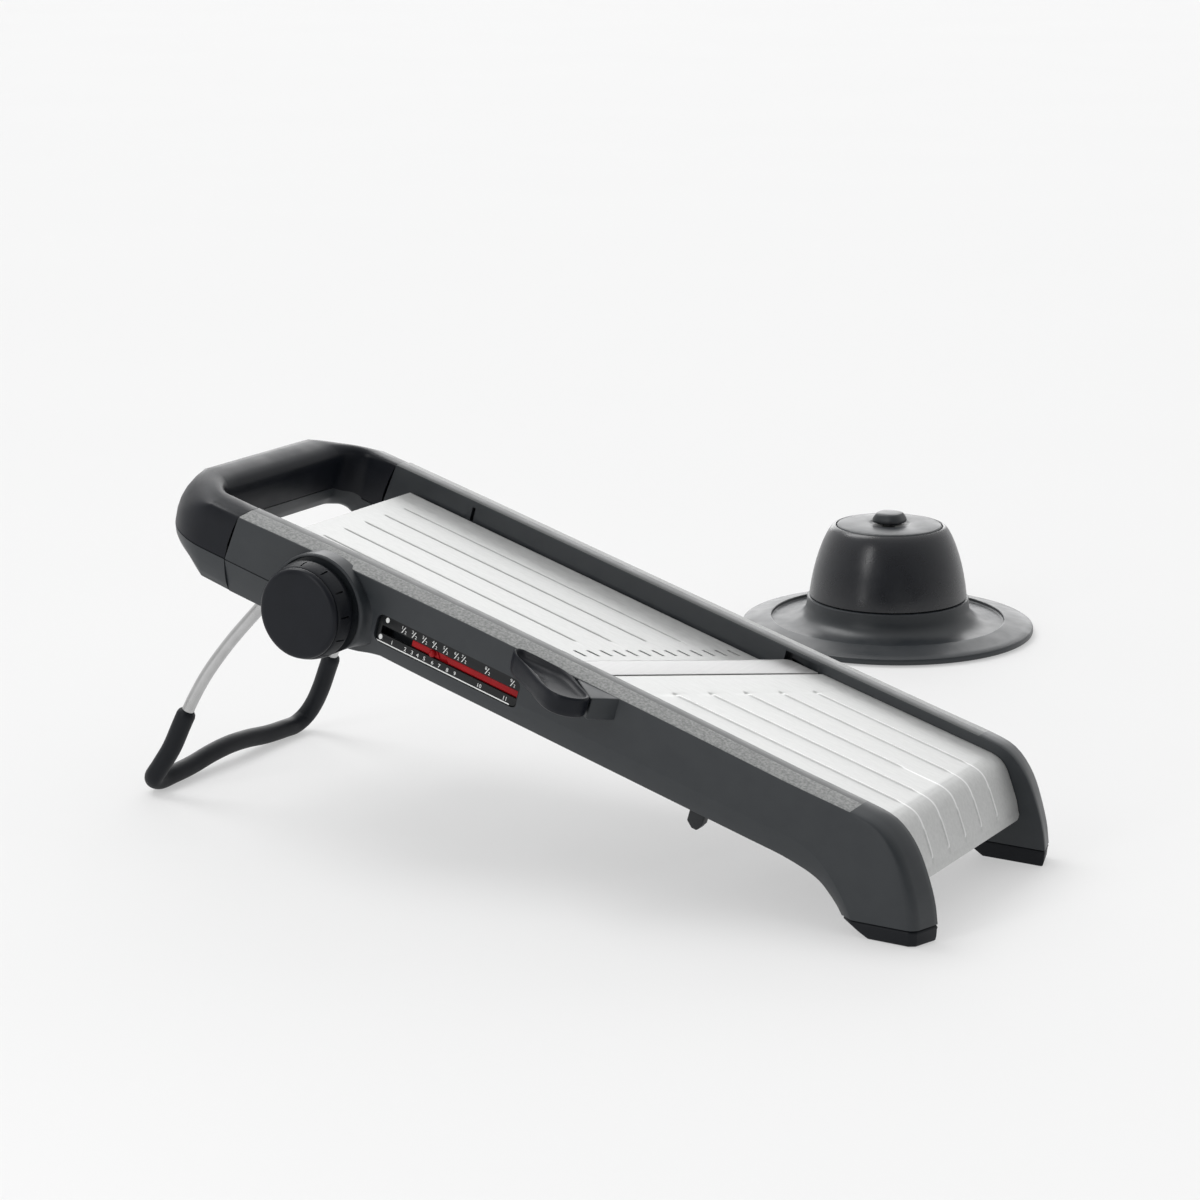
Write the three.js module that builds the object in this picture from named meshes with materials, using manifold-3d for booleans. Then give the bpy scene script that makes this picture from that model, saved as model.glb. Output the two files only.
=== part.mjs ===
// Mandoline slicer on a folding wire leg, with its food guard standing behind it.
// Millimetres, +Z up, +X from the handle towards the feet, +Y away from the dial.
// The slicer is drawn in its own sloping frame: u along the runway towards the
// feet, y across it and w out of the slicing surface, which is w = 0 on the rails.
// The food guard is drawn in a frame that stands on the table.
import * as THREE from "three";
import { mergeVertices } from "three/addons/utils/BufferGeometryUtils.js";
import Module from "manifold-3d";

const wasm = await Module();
wasm.setup();

// Sloping frame.
const SLOPE = THREE.MathUtils.degToRad(16);
const FRAME_HEIGHT = 46.7;
const GAP = 0.3;

// Side rails.
const RAIL_INNER = 54.1;
const RAIL_OUTER = 68.5;
const RAIL_LEFT = -346;
const RAIL_BOTTOM = -35;
const RAIL_HEEL_BOTTOM = -39;
const RAIL_HEEL_END = -281;
const RAIL_CREASE = -24;
const RAIL_CREASE_INSET = 4;
const RAIL_EDGE_WIDTH = 8.6;
const RAIL_EDGE_DROP = 2;
const RAIL_WALL = 3;
const POCKET_OUTER = 61.5;

// Feet.
const PAD_HEIGHT = 7.1;
const PAD_BACK = -33;
const PAD_TOE = 4.9;

// Handle loop.
const HANDLE_END = -395;
const HANDLE_BAR = 22;
const HANDLE_SIDE = 17;
const HANDLE_TOP = 0.5;
const HANDLE_SPLIT = -23.5;
const HANDLE_ROUND = 7;
const HANDLE_CORNER = 29;

// Slicing surfaces: every diagonal edge has the same slant.
const SLANT = 0.552;
const BLADE_EDGE = -156;
const BLADE_REAR = -138.6;
const BLADE_TOP = -4.9;
const BLADE_THICKNESS = 0.9;
const LANDING_TOP = -4.7;
const SHEET = 1.2;
const TRAY_BOTTOM = -13;
const TRAY_TOP = -9.8;
const SCREW_PLACES = [[-95, -40], [-48, -24], [-48, 24], [-70, 48]];
const RIVET_PLACES = [-32, -5, 22, 46];
const RUNWAY_HALF = 51.8;
const RUNWAY_LEFT = -335;
const RUNWAY_TOP = -8.8;
const RUNWAY_DIP = THREE.MathUtils.degToRad(0.5);
const RUNWAY_END = -158.5;
const HINGE_U = -331;
const HINGE_W = -14.5;

// Julienne comb and the slots that it rises through.
const SLOT_COUNT = 16;
const SLOT_PITCH = 5.94;
const SLOT_LAST_Y = 46;
const SLOT_MIDDLE = -173.7;
const SLOT_LENGTH = 6.4;
const SLOT_WIDTH = 1.6;

// Thickness dial.
const DIAL_U = -294.6;
const DIAL_W = -22.7;
const DIAL_RADIUS = 22;
const DIAL_FACE = -88;
const DIAL_BAND = 10;
const DIAL_DEPTH = 13.4;
const DIAL_LOW = THREE.MathUtils.degToRad(-105);
const DIAL_HIGH = THREE.MathUtils.degToRad(170);
const BOSS_RADIUS = 24.3;
const BOSS_FACE = -74;
const SHAFT_RADIUS = 2.5;
const CAM_Y = 44.5;
const CAM_REST = 10.2;
const CAM_RISE_PER_RADIAN = 0.5;
const CAM_ROOM = 12;

// Scale window in the near rail.
const WINDOW_LEFT = -266;
const WINDOW_RIGHT = -190;
const WINDOW_TOP = -14;
const WINDOW_BOTTOM = -27;

// The red marker's slide behind the scale.
const MARKER_BACK = -247.5;
const MARKER_FRONT = -160;
const MARKER_TRAVEL_BACK = 26;
const MARKER_TRAVEL_FRONT = 42;

// Folding leg.
const LEG_PIVOT_X = -318;
const LEG_PIVOT_Z = 110.6;
const LEG_HALF = 49.8;
const LEG_GROUND_X = -396;
const LEG_ROD_RADIUS = 2.9;
const LEG_SLEEVE_RADIUS = 4.5;
const LEG_REST = 4.7;
// Along one side from the pivot down: x, distance from the middle and z.
const LEG_SIDE = [
  [LEG_PIVOT_X, LEG_HALF, LEG_PIVOT_Z], [-330, 50.1, 102], [-342, 50.5, 90], [-354, 52.2, 76.4],
  [-365, 54.6, 61.4], [-372, 56.3, 49.3], [-378.3, 57.9, 36], [-384, 59.1, 23.6],
  [-389.6, 60.4, 14.4], [-394.4, 60, 7.8],
];
// Along the bar on the table: distance from the middle and rise.
const LEG_ARCH = [[-54, 0], [-44, 0.1], [-30, 0.8], [-14, 2.7], [0, 3.4], [14, 2.7], [30, 0.8], [44, 0.1], [54, 0]];
// The share of the rod's length above each end of its sleeve.
const SLEEVE_START = 0.236;

// Food guard.
const GUARD_X = -234;
const GUARD_Y = 388;
const GUARD_RADIUS = 80.5;

// Finishes.
const finish = (color, roughness, metalness) =>
  new THREE.MeshStandardMaterial({ color, roughness, metalness });
const greyPlastic = () => finish(0x4b4e50, 0.5, 0);
const darkPlastic = () => finish(0x2b2e31, 0.45, 0);
const blackRubber = () => finish(0x1d1f23, 0.6, 0);
const brushedSteel = () => finish(0xd5d6d4, 0.35, 1);
const redPlastic = () => finish(0xb4232a, 0.4, 0);
const scalePlastic = () => finish(0x24272a, 0.4, 0);

// ---- Solids ----

// A closed surface, or a solid that is already made, as a solid.
function solidOf(shape) {
  if (!shape.isBufferGeometry) return shape;
  const bare = shape.index ? shape.toNonIndexed() : shape.clone();
  bare.deleteAttribute("normal");
  bare.deleteAttribute("uv");
  const merged = mergeVertices(bare, 1e-4);
  const mesh = new wasm.Mesh({
    numProp: 3,
    vertProperties: merged.attributes.position.array,
    triVerts: new Uint32Array(merged.index.array),
  });
  return new wasm.Manifold(mesh);
}

function surfaceOf(shape) {
  if (shape.isBufferGeometry) return shape;
  const mesh = shape.getMesh();
  const geometry = new THREE.BufferGeometry();
  const places = new Float32Array(mesh.vertProperties);
  geometry.setAttribute("position", new THREE.BufferAttribute(places, 3));
  geometry.setIndex(new THREE.BufferAttribute(new Uint32Array(mesh.triVerts), 1));
  const flat = geometry.toNonIndexed();
  flat.computeVertexNormals();
  return flat;
}

function join(...shapes) {
  return shapes.map(solidOf).reduce((all, one) => all.add(one));
}

function cut(shape, ...tools) {
  return tools.map(solidOf).reduce((rest, tool) => rest.subtract(tool), solidOf(shape));
}

function keep(shape, space) {
  return solidOf(shape).intersect(solidOf(space));
}

function piece(name, shape, material) {
  const mesh = new THREE.Mesh(surfaceOf(shape), material);
  mesh.name = name;
  return mesh;
}

// A box between two opposite corners.
function box(x0, x1, y0, y1, z0, z1) {
  const geometry = new THREE.BoxGeometry(x1 - x0, y1 - y0, z1 - z0);
  return geometry.translate((x0 + x1) / 2, (y0 + y1) / 2, (z0 + z1) / 2);
}

function outline(points) {
  return new THREE.Shape(points.map(([a, b]) => new THREE.Vector2(a, b)));
}

// An outline in (x, z), pushed across from y0 to y1.
function across(shape, y0, y1, options = {}) {
  const settings = { depth: y1 - y0, bevelEnabled: false, curveSegments: 10, ...options };
  return new THREE.ExtrudeGeometry(shape, settings).rotateX(Math.PI / 2).translate(0, y1, 0);
}

// An outline in (x, y), pushed up from z0 to z1.
function upward(shape, z0, z1, options = {}) {
  const settings = { depth: z1 - z0, bevelEnabled: false, curveSegments: 10, ...options };
  return new THREE.ExtrudeGeometry(shape, settings).translate(0, 0, z0);
}

// An outline in (y, z), pushed along from x0 to x1.
function along(shape, x0, x1) {
  const settings = { depth: x1 - x0, bevelEnabled: false };
  const geometry = new THREE.ExtrudeGeometry(shape, settings);
  return geometry.rotateX(Math.PI / 2).rotateZ(Math.PI / 2).translate(x0, 0, 0);
}

// A round bar along Y.
function barAcross(radius, y0, y1, x, z, sides = 32) {
  const geometry = new THREE.CylinderGeometry(radius, radius, y1 - y0, sides);
  return geometry.translate(x, (y0 + y1) / 2, z);
}

// A round bar along Z.
function barUp(radius, z0, z1, x, y, sides = 24) {
  const geometry = new THREE.CylinderGeometry(radius, radius, z1 - z0, sides);
  return geometry.rotateX(Math.PI / 2).translate(x, y, (z0 + z1) / 2);
}

// A turned piece: a profile of (radius, height) round the Z axis.
function turned(profile, sides = 48) {
  const points = profile.map(([radius, height]) => new THREE.Vector2(radius, height));
  return new THREE.LatheGeometry(points, sides).rotateX(Math.PI / 2);
}

function round(radius) {
  return new THREE.Shape().absarc(0, 0, radius, 0, 2 * Math.PI, false);
}

// A tube along a curve, with an even number of sides.
function tube(curve, radius, steps, sides) {
  const settings = { extrudePath: curve, steps, bevelEnabled: false, curveSegments: sides / 2 };
  return new THREE.ExtrudeGeometry(round(radius), settings);
}

// The same shape on the other side of the slicer.
function mirrored(shape) {
  const surface = surfaceOf(shape);
  const copy = surface.index ? surface.toNonIndexed() : surface.clone();
  copy.scale(1, -1, 1);
  const places = copy.attributes.position;
  for (let i = 0; i < places.count; i += 3) {
    const second = new THREE.Vector3().fromBufferAttribute(places, i + 1);
    const third = new THREE.Vector3().fromBufferAttribute(places, i + 2);
    places.setXYZ(i + 1, third.x, third.y, third.z);
    places.setXYZ(i + 2, second.x, second.y, second.z);
  }
  copy.computeVertexNormals();
  return copy;
}

// A place above the table (x, z) in the sloping frame (u, w).
function sloped(x, z) {
  const height = z - FRAME_HEIGHT;
  return [
    x * Math.cos(SLOPE) - height * Math.sin(SLOPE),
    x * Math.sin(SLOPE) + height * Math.cos(SLOPE),
  ];
}

// A strip between two slanted lines, between two sides, in (u, y).
function slantedStrip(front, rear, y0, y1) {
  return outline([
    [front + SLANT * y0, y0],
    [rear + SLANT * y0, y0],
    [rear + SLANT * y1, y1],
    [front + SLANT * y1, y1],
  ]);
}

// ---- Rails and feet ----

const TOE_CURVE = [[-14.6, 50], [-8.6, 45.1], [-3.9, 37.8], [0.9, 25.8], [3.8, 15.6]];
const HEEL_CURVE = [[-39.6, 15.4], [-44, 19.8], [-49, 22.8], [-58, 26.8]];

function railOutline() {
  const shape = new THREE.Shape();
  const vectors = (points) => points.map(([x, z]) => new THREE.Vector2(...sloped(x, z)));
  shape.moveTo(RAIL_LEFT, 0);
  shape.lineTo(-24, 0);
  shape.splineThru(vectors([...TOE_CURVE, [PAD_TOE, PAD_HEIGHT + GAP]]));
  shape.lineTo(...sloped(PAD_BACK, PAD_HEIGHT + GAP));
  shape.splineThru(vectors(HEEL_CURVE));
  shape.lineTo(-262.7, RAIL_BOTTOM);
  shape.quadraticCurveTo(-270, RAIL_BOTTOM, RAIL_HEEL_END, RAIL_HEEL_BOTTOM);
  shape.lineTo(RAIL_LEFT, RAIL_HEEL_BOTTOM);
  return shape;
}

// A plain rail on the near side: its top falls away towards the outer edge, and
// its lower flank is drawn in below the crease.
function railBody() {
  const side = across(railOutline(), -RAIL_OUTER, -RAIL_INNER, { curveSegments: 2 });
  const outside = -RAIL_OUTER - 1;
  const bevelStart = -RAIL_OUTER + RAIL_EDGE_WIDTH;
  const bevel = outline([
    [outside, 1],
    [outside, (-RAIL_EDGE_DROP * (RAIL_EDGE_WIDTH + 1)) / RAIL_EDGE_WIDTH],
    [bevelStart, 0],
    [bevelStart, 1],
  ]);
  const flank = outline([
    [outside, RAIL_CREASE + 2],
    [-RAIL_OUTER, RAIL_CREASE],
    [-RAIL_OUTER + RAIL_CREASE_INSET, RAIL_HEEL_BOTTOM],
    [-RAIL_OUTER + RAIL_CREASE_INSET, -60],
    [outside, -60],
  ]);
  return cut(side, along(bevel, -350, 30), along(flank, -350, -50));
}

// Hollows open to the underside, with a rib left between two neighbours.
function railPockets(left, right, count) {
  const rib = 2.5;
  const step = (right - left) / count;
  const [outside, inside] = [-POCKET_OUTER, -RAIL_INNER - RAIL_WALL];
  return Array.from({ length: count }, (_, i) =>
    box(left + i * step, left + (i + 1) * step - rib, outside, inside, -60, -RAIL_WALL - 2),
  );
}

// The way that the blade cassette slides through the near rail.
function cassetteWay(clearance) {
  const strip = slantedStrip(BLADE_EDGE - 1, BLADE_REAR + clearance, -110, RAIL_INNER + 5);
  return upward(strip, -9.5, BLADE_TOP + 2 * GAP);
}

function nearRail() {
  const round = barAcross(BOSS_RADIUS, BOSS_FACE, -RAIL_INNER - 2, DIAL_U, DIAL_W, 48);
  const boss = cut(round, box(-330, -260, -66.5, -50, 0, 20));
  const step = box(-149, -141.5, -77, -RAIL_OUTER + 2, -11, -1.5);
  const chamber = barAcross(19, BOSS_FACE + RAIL_WALL, -RAIL_INNER - RAIL_WALL, DIAL_U, DIAL_W, 40);
  const bore = barAcross(SHAFT_RADIUS + GAP, BOSS_FACE - 5, -RAIL_INNER + 5, DIAL_U, DIAL_W, 24);
  const window = box(WINDOW_LEFT, WINDOW_RIGHT, -RAIL_OUTER - 5, -60, WINDOW_BOTTOM, WINDOW_TOP);
  const [back, front] = [MARKER_BACK - MARKER_TRAVEL_BACK - 2, MARKER_FRONT + MARKER_TRAVEL_FRONT + 2];
  const markerWay = box(back, front, -65.7, -61, -25.4, -17.4);
  return cut(
    join(railBody(), boss, step),
    ...railPockets(-275, -62, 1),
    ...railPockets(-342, -310, 1),
    chamber,
    bore,
    window,
    markerWay,
    cassetteWay(GAP),
    legSocket(-1),
  );
}

function farRail() {
  const notch = box(-129, -107.5, RAIL_INNER - 5, 59.5, -9.5, -1.5);
  const slit = box(-301, -298.6, RAIL_INNER - 5, RAIL_INNER + 1.5, -11, -3);
  const bore = barAcross(SHAFT_RADIUS + GAP, RAIL_INNER - 5, 62, DIAL_U, DIAL_W, 24);
  const pockets = [...railPockets(-276, -62, 5), ...railPockets(-342, -304, 1)];
  return cut(mirrored(railBody()), ...pockets.map(mirrored), notch, slit, bore, legSocket(1));
}

// The blind hole in a rail for the end of the leg's pivot.
function legSocket(side) {
  const [u, w] = sloped(LEG_PIVOT_X, LEG_PIVOT_Z);
  const ends = [side * (RAIL_INNER - 5), side * (RAIL_OUTER - RAIL_WALL)];
  return barAcross(3.4, Math.min(...ends), Math.max(...ends), u, w, 24);
}

// A rubber pad under a rail's foot, in the table's frame: its toe turns in.
function footPad() {
  const base = outline([
    [PAD_BACK, -RAIL_OUTER + 0.3],
    [-2, -RAIL_OUTER + 0.3],
    [1.3, -66.6],
    [PAD_TOE, -RAIL_INNER],
    [PAD_BACK, -RAIL_INNER],
  ]);
  const heel = outline([[PAD_BACK - 1, -1], [-25, -1], [-25, 0], [PAD_BACK - 1, 5.6]]);
  return cut(upward(base, 0, PAD_HEIGHT), across(heel, -80, -40));
}

// ---- Handle ----

function loopOutline(end, halfWidth, corner, open) {
  const shape = new THREE.Shape();
  shape.moveTo(open, -halfWidth);
  shape.lineTo(open, halfWidth);
  shape.lineTo(end + corner, halfWidth);
  shape.absarc(end + corner, halfWidth - corner, corner, Math.PI / 2, Math.PI, false);
  shape.absarc(end + corner, corner - halfWidth, corner, Math.PI, 1.5 * Math.PI, false);
  return shape;
}

// The whole handle loop: rounded above and below, open in the middle.
function handleLoop() {
  const right = RAIL_LEFT - GAP;
  const outside = upward(
    loopOutline(HANDLE_END, RAIL_OUTER, HANDLE_CORNER, right + 20),
    RAIL_HEEL_BOTTOM + HANDLE_ROUND,
    HANDLE_TOP - HANDLE_ROUND,
    {
      bevelEnabled: true,
      bevelThickness: HANDLE_ROUND,
      bevelSize: HANDLE_ROUND,
      bevelOffset: -HANDLE_ROUND,
      bevelSegments: 3,
    },
  );
  const inside = loopOutline(
    HANDLE_END + HANDLE_BAR,
    RAIL_OUTER - HANDLE_SIDE,
    HANDLE_CORNER - HANDLE_SIDE,
    right + 30,
  );
  const fingers = upward(inside, -60, 20);
  const stop = box(right, right + 60, -80, 80, -60, 20);
  return cut(outside, fingers, stop);
}

function handleGrip() {
  return keep(handleLoop(), box(-400, -300, -80, 80, HANDLE_SPLIT + GAP / 2, 20));
}

function handleShell() {
  return keep(handleLoop(), box(-400, -300, -80, 80, -60, HANDLE_SPLIT - GAP / 2));
}

// ---- Cross members ----

// Ties the rails together under the runway's hinge and carries its pins.
function handleBridge() {
  const half = RAIL_INNER - GAP;
  const floor = box(-341, -322, -half, half, -33, -30);
  const wall = box(-341, -338.5, -half, half, -33, -17);
  const lugs = [-1, 1].map((side) => box(-336, -326, side * 34 - 3, side * 34 + 3, -31, -10.8));
  const holes = barAcross(2.3, -60, 60, HINGE_U, HINGE_W, 16);
  const legWay = [-1, 1].map((side) => {
    const middle = side * 51.5;
    return box(-345, -310, middle - 8, middle + 8, -40, -10);
  });
  return cut(join(floor, wall, ...lugs), holes, ...legWay);
}

// Plastic tray that backs the landing plate and seats the blade cassette.
function landingTray() {
  const half = RAIL_INNER - GAP;
  const strip = slantedStrip(BLADE_EDGE + 9, BLADE_REAR + 12, -half, half);
  const bed = upward(strip, TRAY_BOTTOM, TRAY_TOP);
  const skin = upward(
    outline([
      [BLADE_REAR + 6 - SLANT * half, -half],
      [-34, -half],
      [-34, half],
      [BLADE_REAR + 6 + SLANT * half, half],
    ]),
    TRAY_BOTTOM,
    TRAY_TOP,
  );
  const windows = [-36, -12, 12, 36].flatMap((y) => [
    box(-80, -62, y - 9, y + 9, -20, 0),
    box(-57, -40, y - 9, y + 9, -20, 0),
  ]);
  const holes = SCREW_PLACES.map(([u, y]) => barUp(1.5, -20, 0, u, y, 16));
  return cut(join(bed, skin), ...windows, ...holes);
}

// A pan-head screw, head down, its shank up inside its hole.
function trayScrew([u, y]) {
  const profile = [[0, -15.4], [2.6, -15.4], [2.9, -14.6], [2.9, -13.3], [1.2, -13.3], [1.2, -10], [0, -10]];
  return turned(profile, 16).translate(u, y, 0);
}

// ---- Landing plate ----

function landingPlate() {
  const shape = new THREE.Shape();
  const lip = [[-20, 47.2], [-14.5, 42.6], [-12, 36.6], [-9, 28.2], [-7.8, 20.6]];
  const inner = lip.map(([x, z]) => [x - 0.9, z - 0.75]).reverse();
  shape.moveTo(-175, LANDING_TOP);
  shape.lineTo(-30, LANDING_TOP);
  shape.splineThru(lip.map(([x, z]) => new THREE.Vector2(...sloped(x, z))));
  shape.lineTo(...sloped(...inner[0]));
  shape.splineThru(inner.slice(1).map(([x, z]) => new THREE.Vector2(...sloped(x, z))));
  shape.lineTo(-30, LANDING_TOP - SHEET);
  shape.lineTo(-175, LANDING_TOP - SHEET);
  const half = RAIL_INNER - GAP;
  const plan = outline([
    [BLADE_REAR + 2 * GAP - SLANT * 60, -60],
    [20, -60],
    [20, 60],
    [BLADE_REAR + 2 * GAP + SLANT * 60, 60],
  ]);
  return keep(across(shape, -half, half, { curveSegments: 5 }), upward(plan, -80, 20));
}

// ---- Runway ----

function slotPlaces() {
  return Array.from({ length: SLOT_COUNT }, (_, i) => {
    const y = SLOT_LAST_Y - i * SLOT_PITCH;
    return [SLOT_MIDDLE + SLANT * y, y];
  });
}

function runwayPlan(half) {
  return outline([
    [RUNWAY_LEFT, -half],
    [RUNWAY_END - SLANT * half, -half],
    [RUNWAY_END + SLANT * half, half],
    [RUNWAY_LEFT, half],
  ]);
}

function runwayPlate() {
  const sheet = upward(runwayPlan(RUNWAY_HALF), RUNWAY_TOP - SHEET, RUNWAY_TOP);
  const slots = slotPlaces().map(([u, y]) =>
    box(u - SLOT_LENGTH / 2, u + SLOT_LENGTH / 2, y - SLOT_WIDTH / 2, y + SLOT_WIDTH / 2, -20, 0),
  );
  return cut(sheet, ...slots);
}

// Plastic frame under the runway: two side beams, cross ribs and a lead-in beam
// behind the comb. The beams are thin over the cams.
function runwayFrame() {
  const top = RUNWAY_TOP - SHEET - GAP;
  const beams = [-1, 1].map((side) =>
    box(RUNWAY_LEFT + 1, side * 22 - 196, side * 46 - 3, side * 46 + 3, top - 4.2, top),
  );
  const ribs = [-320, -262, -232].map((u) => box(u, u + 3, -46, 46, top - 4.2, top));
  const lead = upward(slantedStrip(-196, -188, -48, 48), top - 4.2, top);
  const eyes = [-1, 1].map((side) => barAcross(3.6, side * 40 - 2.5, side * 40 + 2.5, HINGE_U, HINGE_W, 20));
  const arms = [-1, 1].map((side) => box(-334, -310, side * 40 - 2.5, side * 40 + 2.5, -13.5, top));
  const pinHole = barAcross(1.9 + GAP, -60, 60, HINGE_U, HINGE_W, 16);
  const camRoom = box(DIAL_U - CAM_ROOM, DIAL_U + CAM_ROOM, -60, 60, -35, top - 1.5);
  const lugRoom = [-1, 1].map((side) => box(-337, -325, side * 34 - 3.4, side * 34 + 3.4, -30, 0));
  return cut(join(...beams, ...ribs, lead, ...eyes, ...arms), pinHole, camRoom, ...lugRoom);
}

function hingePin(side) {
  const ends = [side * 31.5, side * 42];
  return barAcross(1.9, Math.min(...ends), Math.max(...ends), HINGE_U, HINGE_W, 16);
}

// ---- Julienne comb ----

function combBlades() {
  const teeth = slotPlaces().map(([u, y]) =>
    box(u - 2.6, u + 2.6, y - 0.4, y + 0.4, -21, RUNWAY_TOP - 0.9),
  );
  const [spineFront, spineRear] = [SLOT_MIDDLE - 2.6, SLOT_MIDDLE + 2.6];
  const spine = upward(slantedStrip(spineFront, spineRear, -45, 48), -21, -18.5);
  return join(spine, ...teeth);
}

function combBar() {
  const bar = upward(slantedStrip(SLOT_MIDDLE - 6, SLOT_MIDDLE + 6, -47, 49.5), -25, -19.5);
  const seat = upward(slantedStrip(SLOT_MIDDLE - 3, SLOT_MIDDLE + 3, -45.6, 48.6), -21.3, -10);
  return cut(bar, seat);
}

// ---- Blade cassette ----

function bladeSheet() {
  const strip = upward(slantedStrip(BLADE_EDGE, BLADE_REAR, -53.5, 53.5), BLADE_TOP - BLADE_THICKNESS, BLADE_TOP);
  // The ground edge: a long wedge taken off above the cutting edge.
  const grind = outline([[-1, -0.6], [2.2, 0.05], [2.2, 1], [-1, 1]]);
  const wedge = new THREE.ExtrudeGeometry(grind, { depth: 180, bevelEnabled: false });
  wedge.rotateX(Math.PI / 2).translate(0, 90, 0);
  wedge.rotateZ(-Math.atan(SLANT)).translate(BLADE_EDGE, 0, BLADE_TOP);
  const holes = RIVET_PLACES.map((y) => barUp(1.2 + GAP, -12, 0, BLADE_REAR - 4.4 + SLANT * y, y, 12));
  return cut(strip, wedge, ...holes);
}

function bladeCarrier() {
  const top = BLADE_TOP - BLADE_THICKNESS - GAP;
  const strip = upward(slantedStrip(BLADE_EDGE + 7, BLADE_REAR - 2, -70, 57), -9, top);
  const end = box(-176, -116, 57.2, 60, -9, 0);
  const holes = RIVET_PLACES.map((y) => barUp(1.2 + GAP, -12, 0, BLADE_REAR - 4.4 + SLANT * y, y, 12));
  return cut(strip, end, ...holes);
}

function bladeRivet(y) {
  return barUp(1.2, -8.8, BLADE_TOP - 0.1, BLADE_REAR - 4.4 + SLANT * y, y, 12);
}

// The cassette's thumb grip outside the near rail: a lobe with a dished top.
function bladeGrip() {
  const shape = new THREE.Shape();
  shape.moveTo(-194, -70.3);
  shape.lineTo(-149.6, -70.3);
  shape.lineTo(-149.6, -80);
  shape.bezierCurveTo(-151, -92, -162, -94, -172, -91);
  shape.bezierCurveTo(-182, -88, -191, -80, -194, -73);
  const lobe = upward(shape, -9.6, -1.5, {
    bevelEnabled: true,
    bevelThickness: 1.5,
    bevelSize: 1.2,
    bevelOffset: -1.2,
    bevelSegments: 2,
    curveSegments: 8,
  });
  const dish = new THREE.SphereGeometry(26, 24, 16).translate(-168, -82, 23.5);
  return cut(lobe, dish);
}

// ---- Thickness dial ----

function dialCore() {
  const [edge, wall] = [DIAL_RADIUS - 3.4, DIAL_RADIUS - 2.4];
  const face = turned([[0, 0], [edge, 0], [wall, 1], [wall, DIAL_DEPTH], [0, DIAL_DEPTH]], 48);
  const placed = face.rotateX(-Math.PI / 2).translate(DIAL_U, DIAL_FACE, DIAL_W);
  const bore = barAcross(SHAFT_RADIUS + GAP, DIAL_FACE + 5, DIAL_FACE + 30, DIAL_U, DIAL_W, 24);
  return cut(placed, bore);
}

function dialGrip() {
  const [inner, outer] = [DIAL_RADIUS - 2.1, DIAL_RADIUS];
  const profile = [
    [inner, 1.2], [outer - 1.4, 1.2], [outer - 0.8, 2.6], [outer, DIAL_BAND - 0.6],
    [outer - 0.3, DIAL_BAND], [inner, DIAL_BAND], [inner, 1.2],
  ];
  const ring = turned(profile, 48).rotateX(-Math.PI / 2).translate(DIAL_U, DIAL_FACE, DIAL_W);
  const notches = Array.from({ length: 12 }, (_, i) => {
    const notch = new THREE.BoxGeometry(1, 40, 1.2).translate(0, 0, outer);
    return notch.rotateY((i * Math.PI) / 6).translate(DIAL_U, DIAL_FACE, DIAL_W);
  });
  return cut(ring, ...notches);
}

function camShaft() {
  return barAcross(SHAFT_RADIUS, DIAL_FACE + 6, 61.5, DIAL_U, DIAL_W, 24);
}

// A spiral cam: its radius under the runway follows the runway as the dial turns.
function liftCam(side) {
  const shape = new THREE.Shape();
  const radiusAt = (turn) => CAM_REST - GAP - CAM_RISE_PER_RADIAN * turn;
  const steps = 22;
  for (let i = 0; i <= steps; i += 1) {
    const turn = DIAL_LOW + ((DIAL_HIGH - DIAL_LOW) * i) / steps;
    const angle = Math.PI / 2 + turn;
    const place = [radiusAt(turn) * Math.cos(angle), radiusAt(turn) * Math.sin(angle)];
    if (i === 0) shape.moveTo(...place);
    else shape.lineTo(...place);
  }
  const bore = new THREE.Path().absarc(0, 0, SHAFT_RADIUS + GAP, 0, 2 * Math.PI, true);
  shape.holes.push(bore);
  return across(shape, side * CAM_Y - 2, side * CAM_Y + 2).translate(DIAL_U, 0, DIAL_W);
}

function detentWheel() {
  const shape = new THREE.Shape();
  const teeth = 22;
  for (let i = 0; i < 2 * teeth; i += 1) {
    const radius = i % 2 ? 12 : 13.4;
    const angle = (i * Math.PI) / teeth;
    if (i === 0) shape.moveTo(radius, 0);
    else shape.lineTo(radius * Math.cos(angle), radius * Math.sin(angle));
  }
  shape.holes.push(new THREE.Path().absarc(0, 0, SHAFT_RADIUS + GAP, 0, 2 * Math.PI, true));
  return across(shape, -64, -61).translate(DIAL_U, 0, DIAL_W);
}

// A leaf spring in the rail's dial chamber, bowed towards the wheel's teeth.
function detentSpring() {
  const leaf = new THREE.Shape();
  leaf.moveTo(-9, 0);
  leaf.quadraticCurveTo(0, -3.6, 9, 0);
  leaf.lineTo(9, 0.8);
  leaf.quadraticCurveTo(0, -2.8, -9, 0.8);
  return across(leaf, -64, -61).translate(DIAL_U, 0, DIAL_W + 15.8);
}

// ---- Thickness scale ----

function scalePlate() {
  const [y0, y1] = [-66.9, -65.7];
  const plate = box(WINDOW_LEFT + GAP, WINDOW_RIGHT - GAP, y0, y1, WINDOW_BOTTOM + GAP, WINDOW_TOP - GAP);
  const slit = box(WINDOW_LEFT + 2.2, WINDOW_RIGHT - 1.2, y0 - 1, y1 + 1, -23, -19.4);
  return cut(plate, slit);
}

// The red marker: a long slide behind the slit with a pointer through it.
function scaleMarker() {
  const slide = box(MARKER_BACK, MARKER_FRONT, -65.3, -63.8, -24.2, -18.2);
  const pointer = box(-237.4, -234.6, -68.2, -64, -22.6, -19.8);
  return join(slide, pointer);
}

// ---- Folding leg ----

function legSidePoints(side) {
  return LEG_SIDE.map(([x, half, z]) => new THREE.Vector3(x, side * half, z));
}

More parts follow.
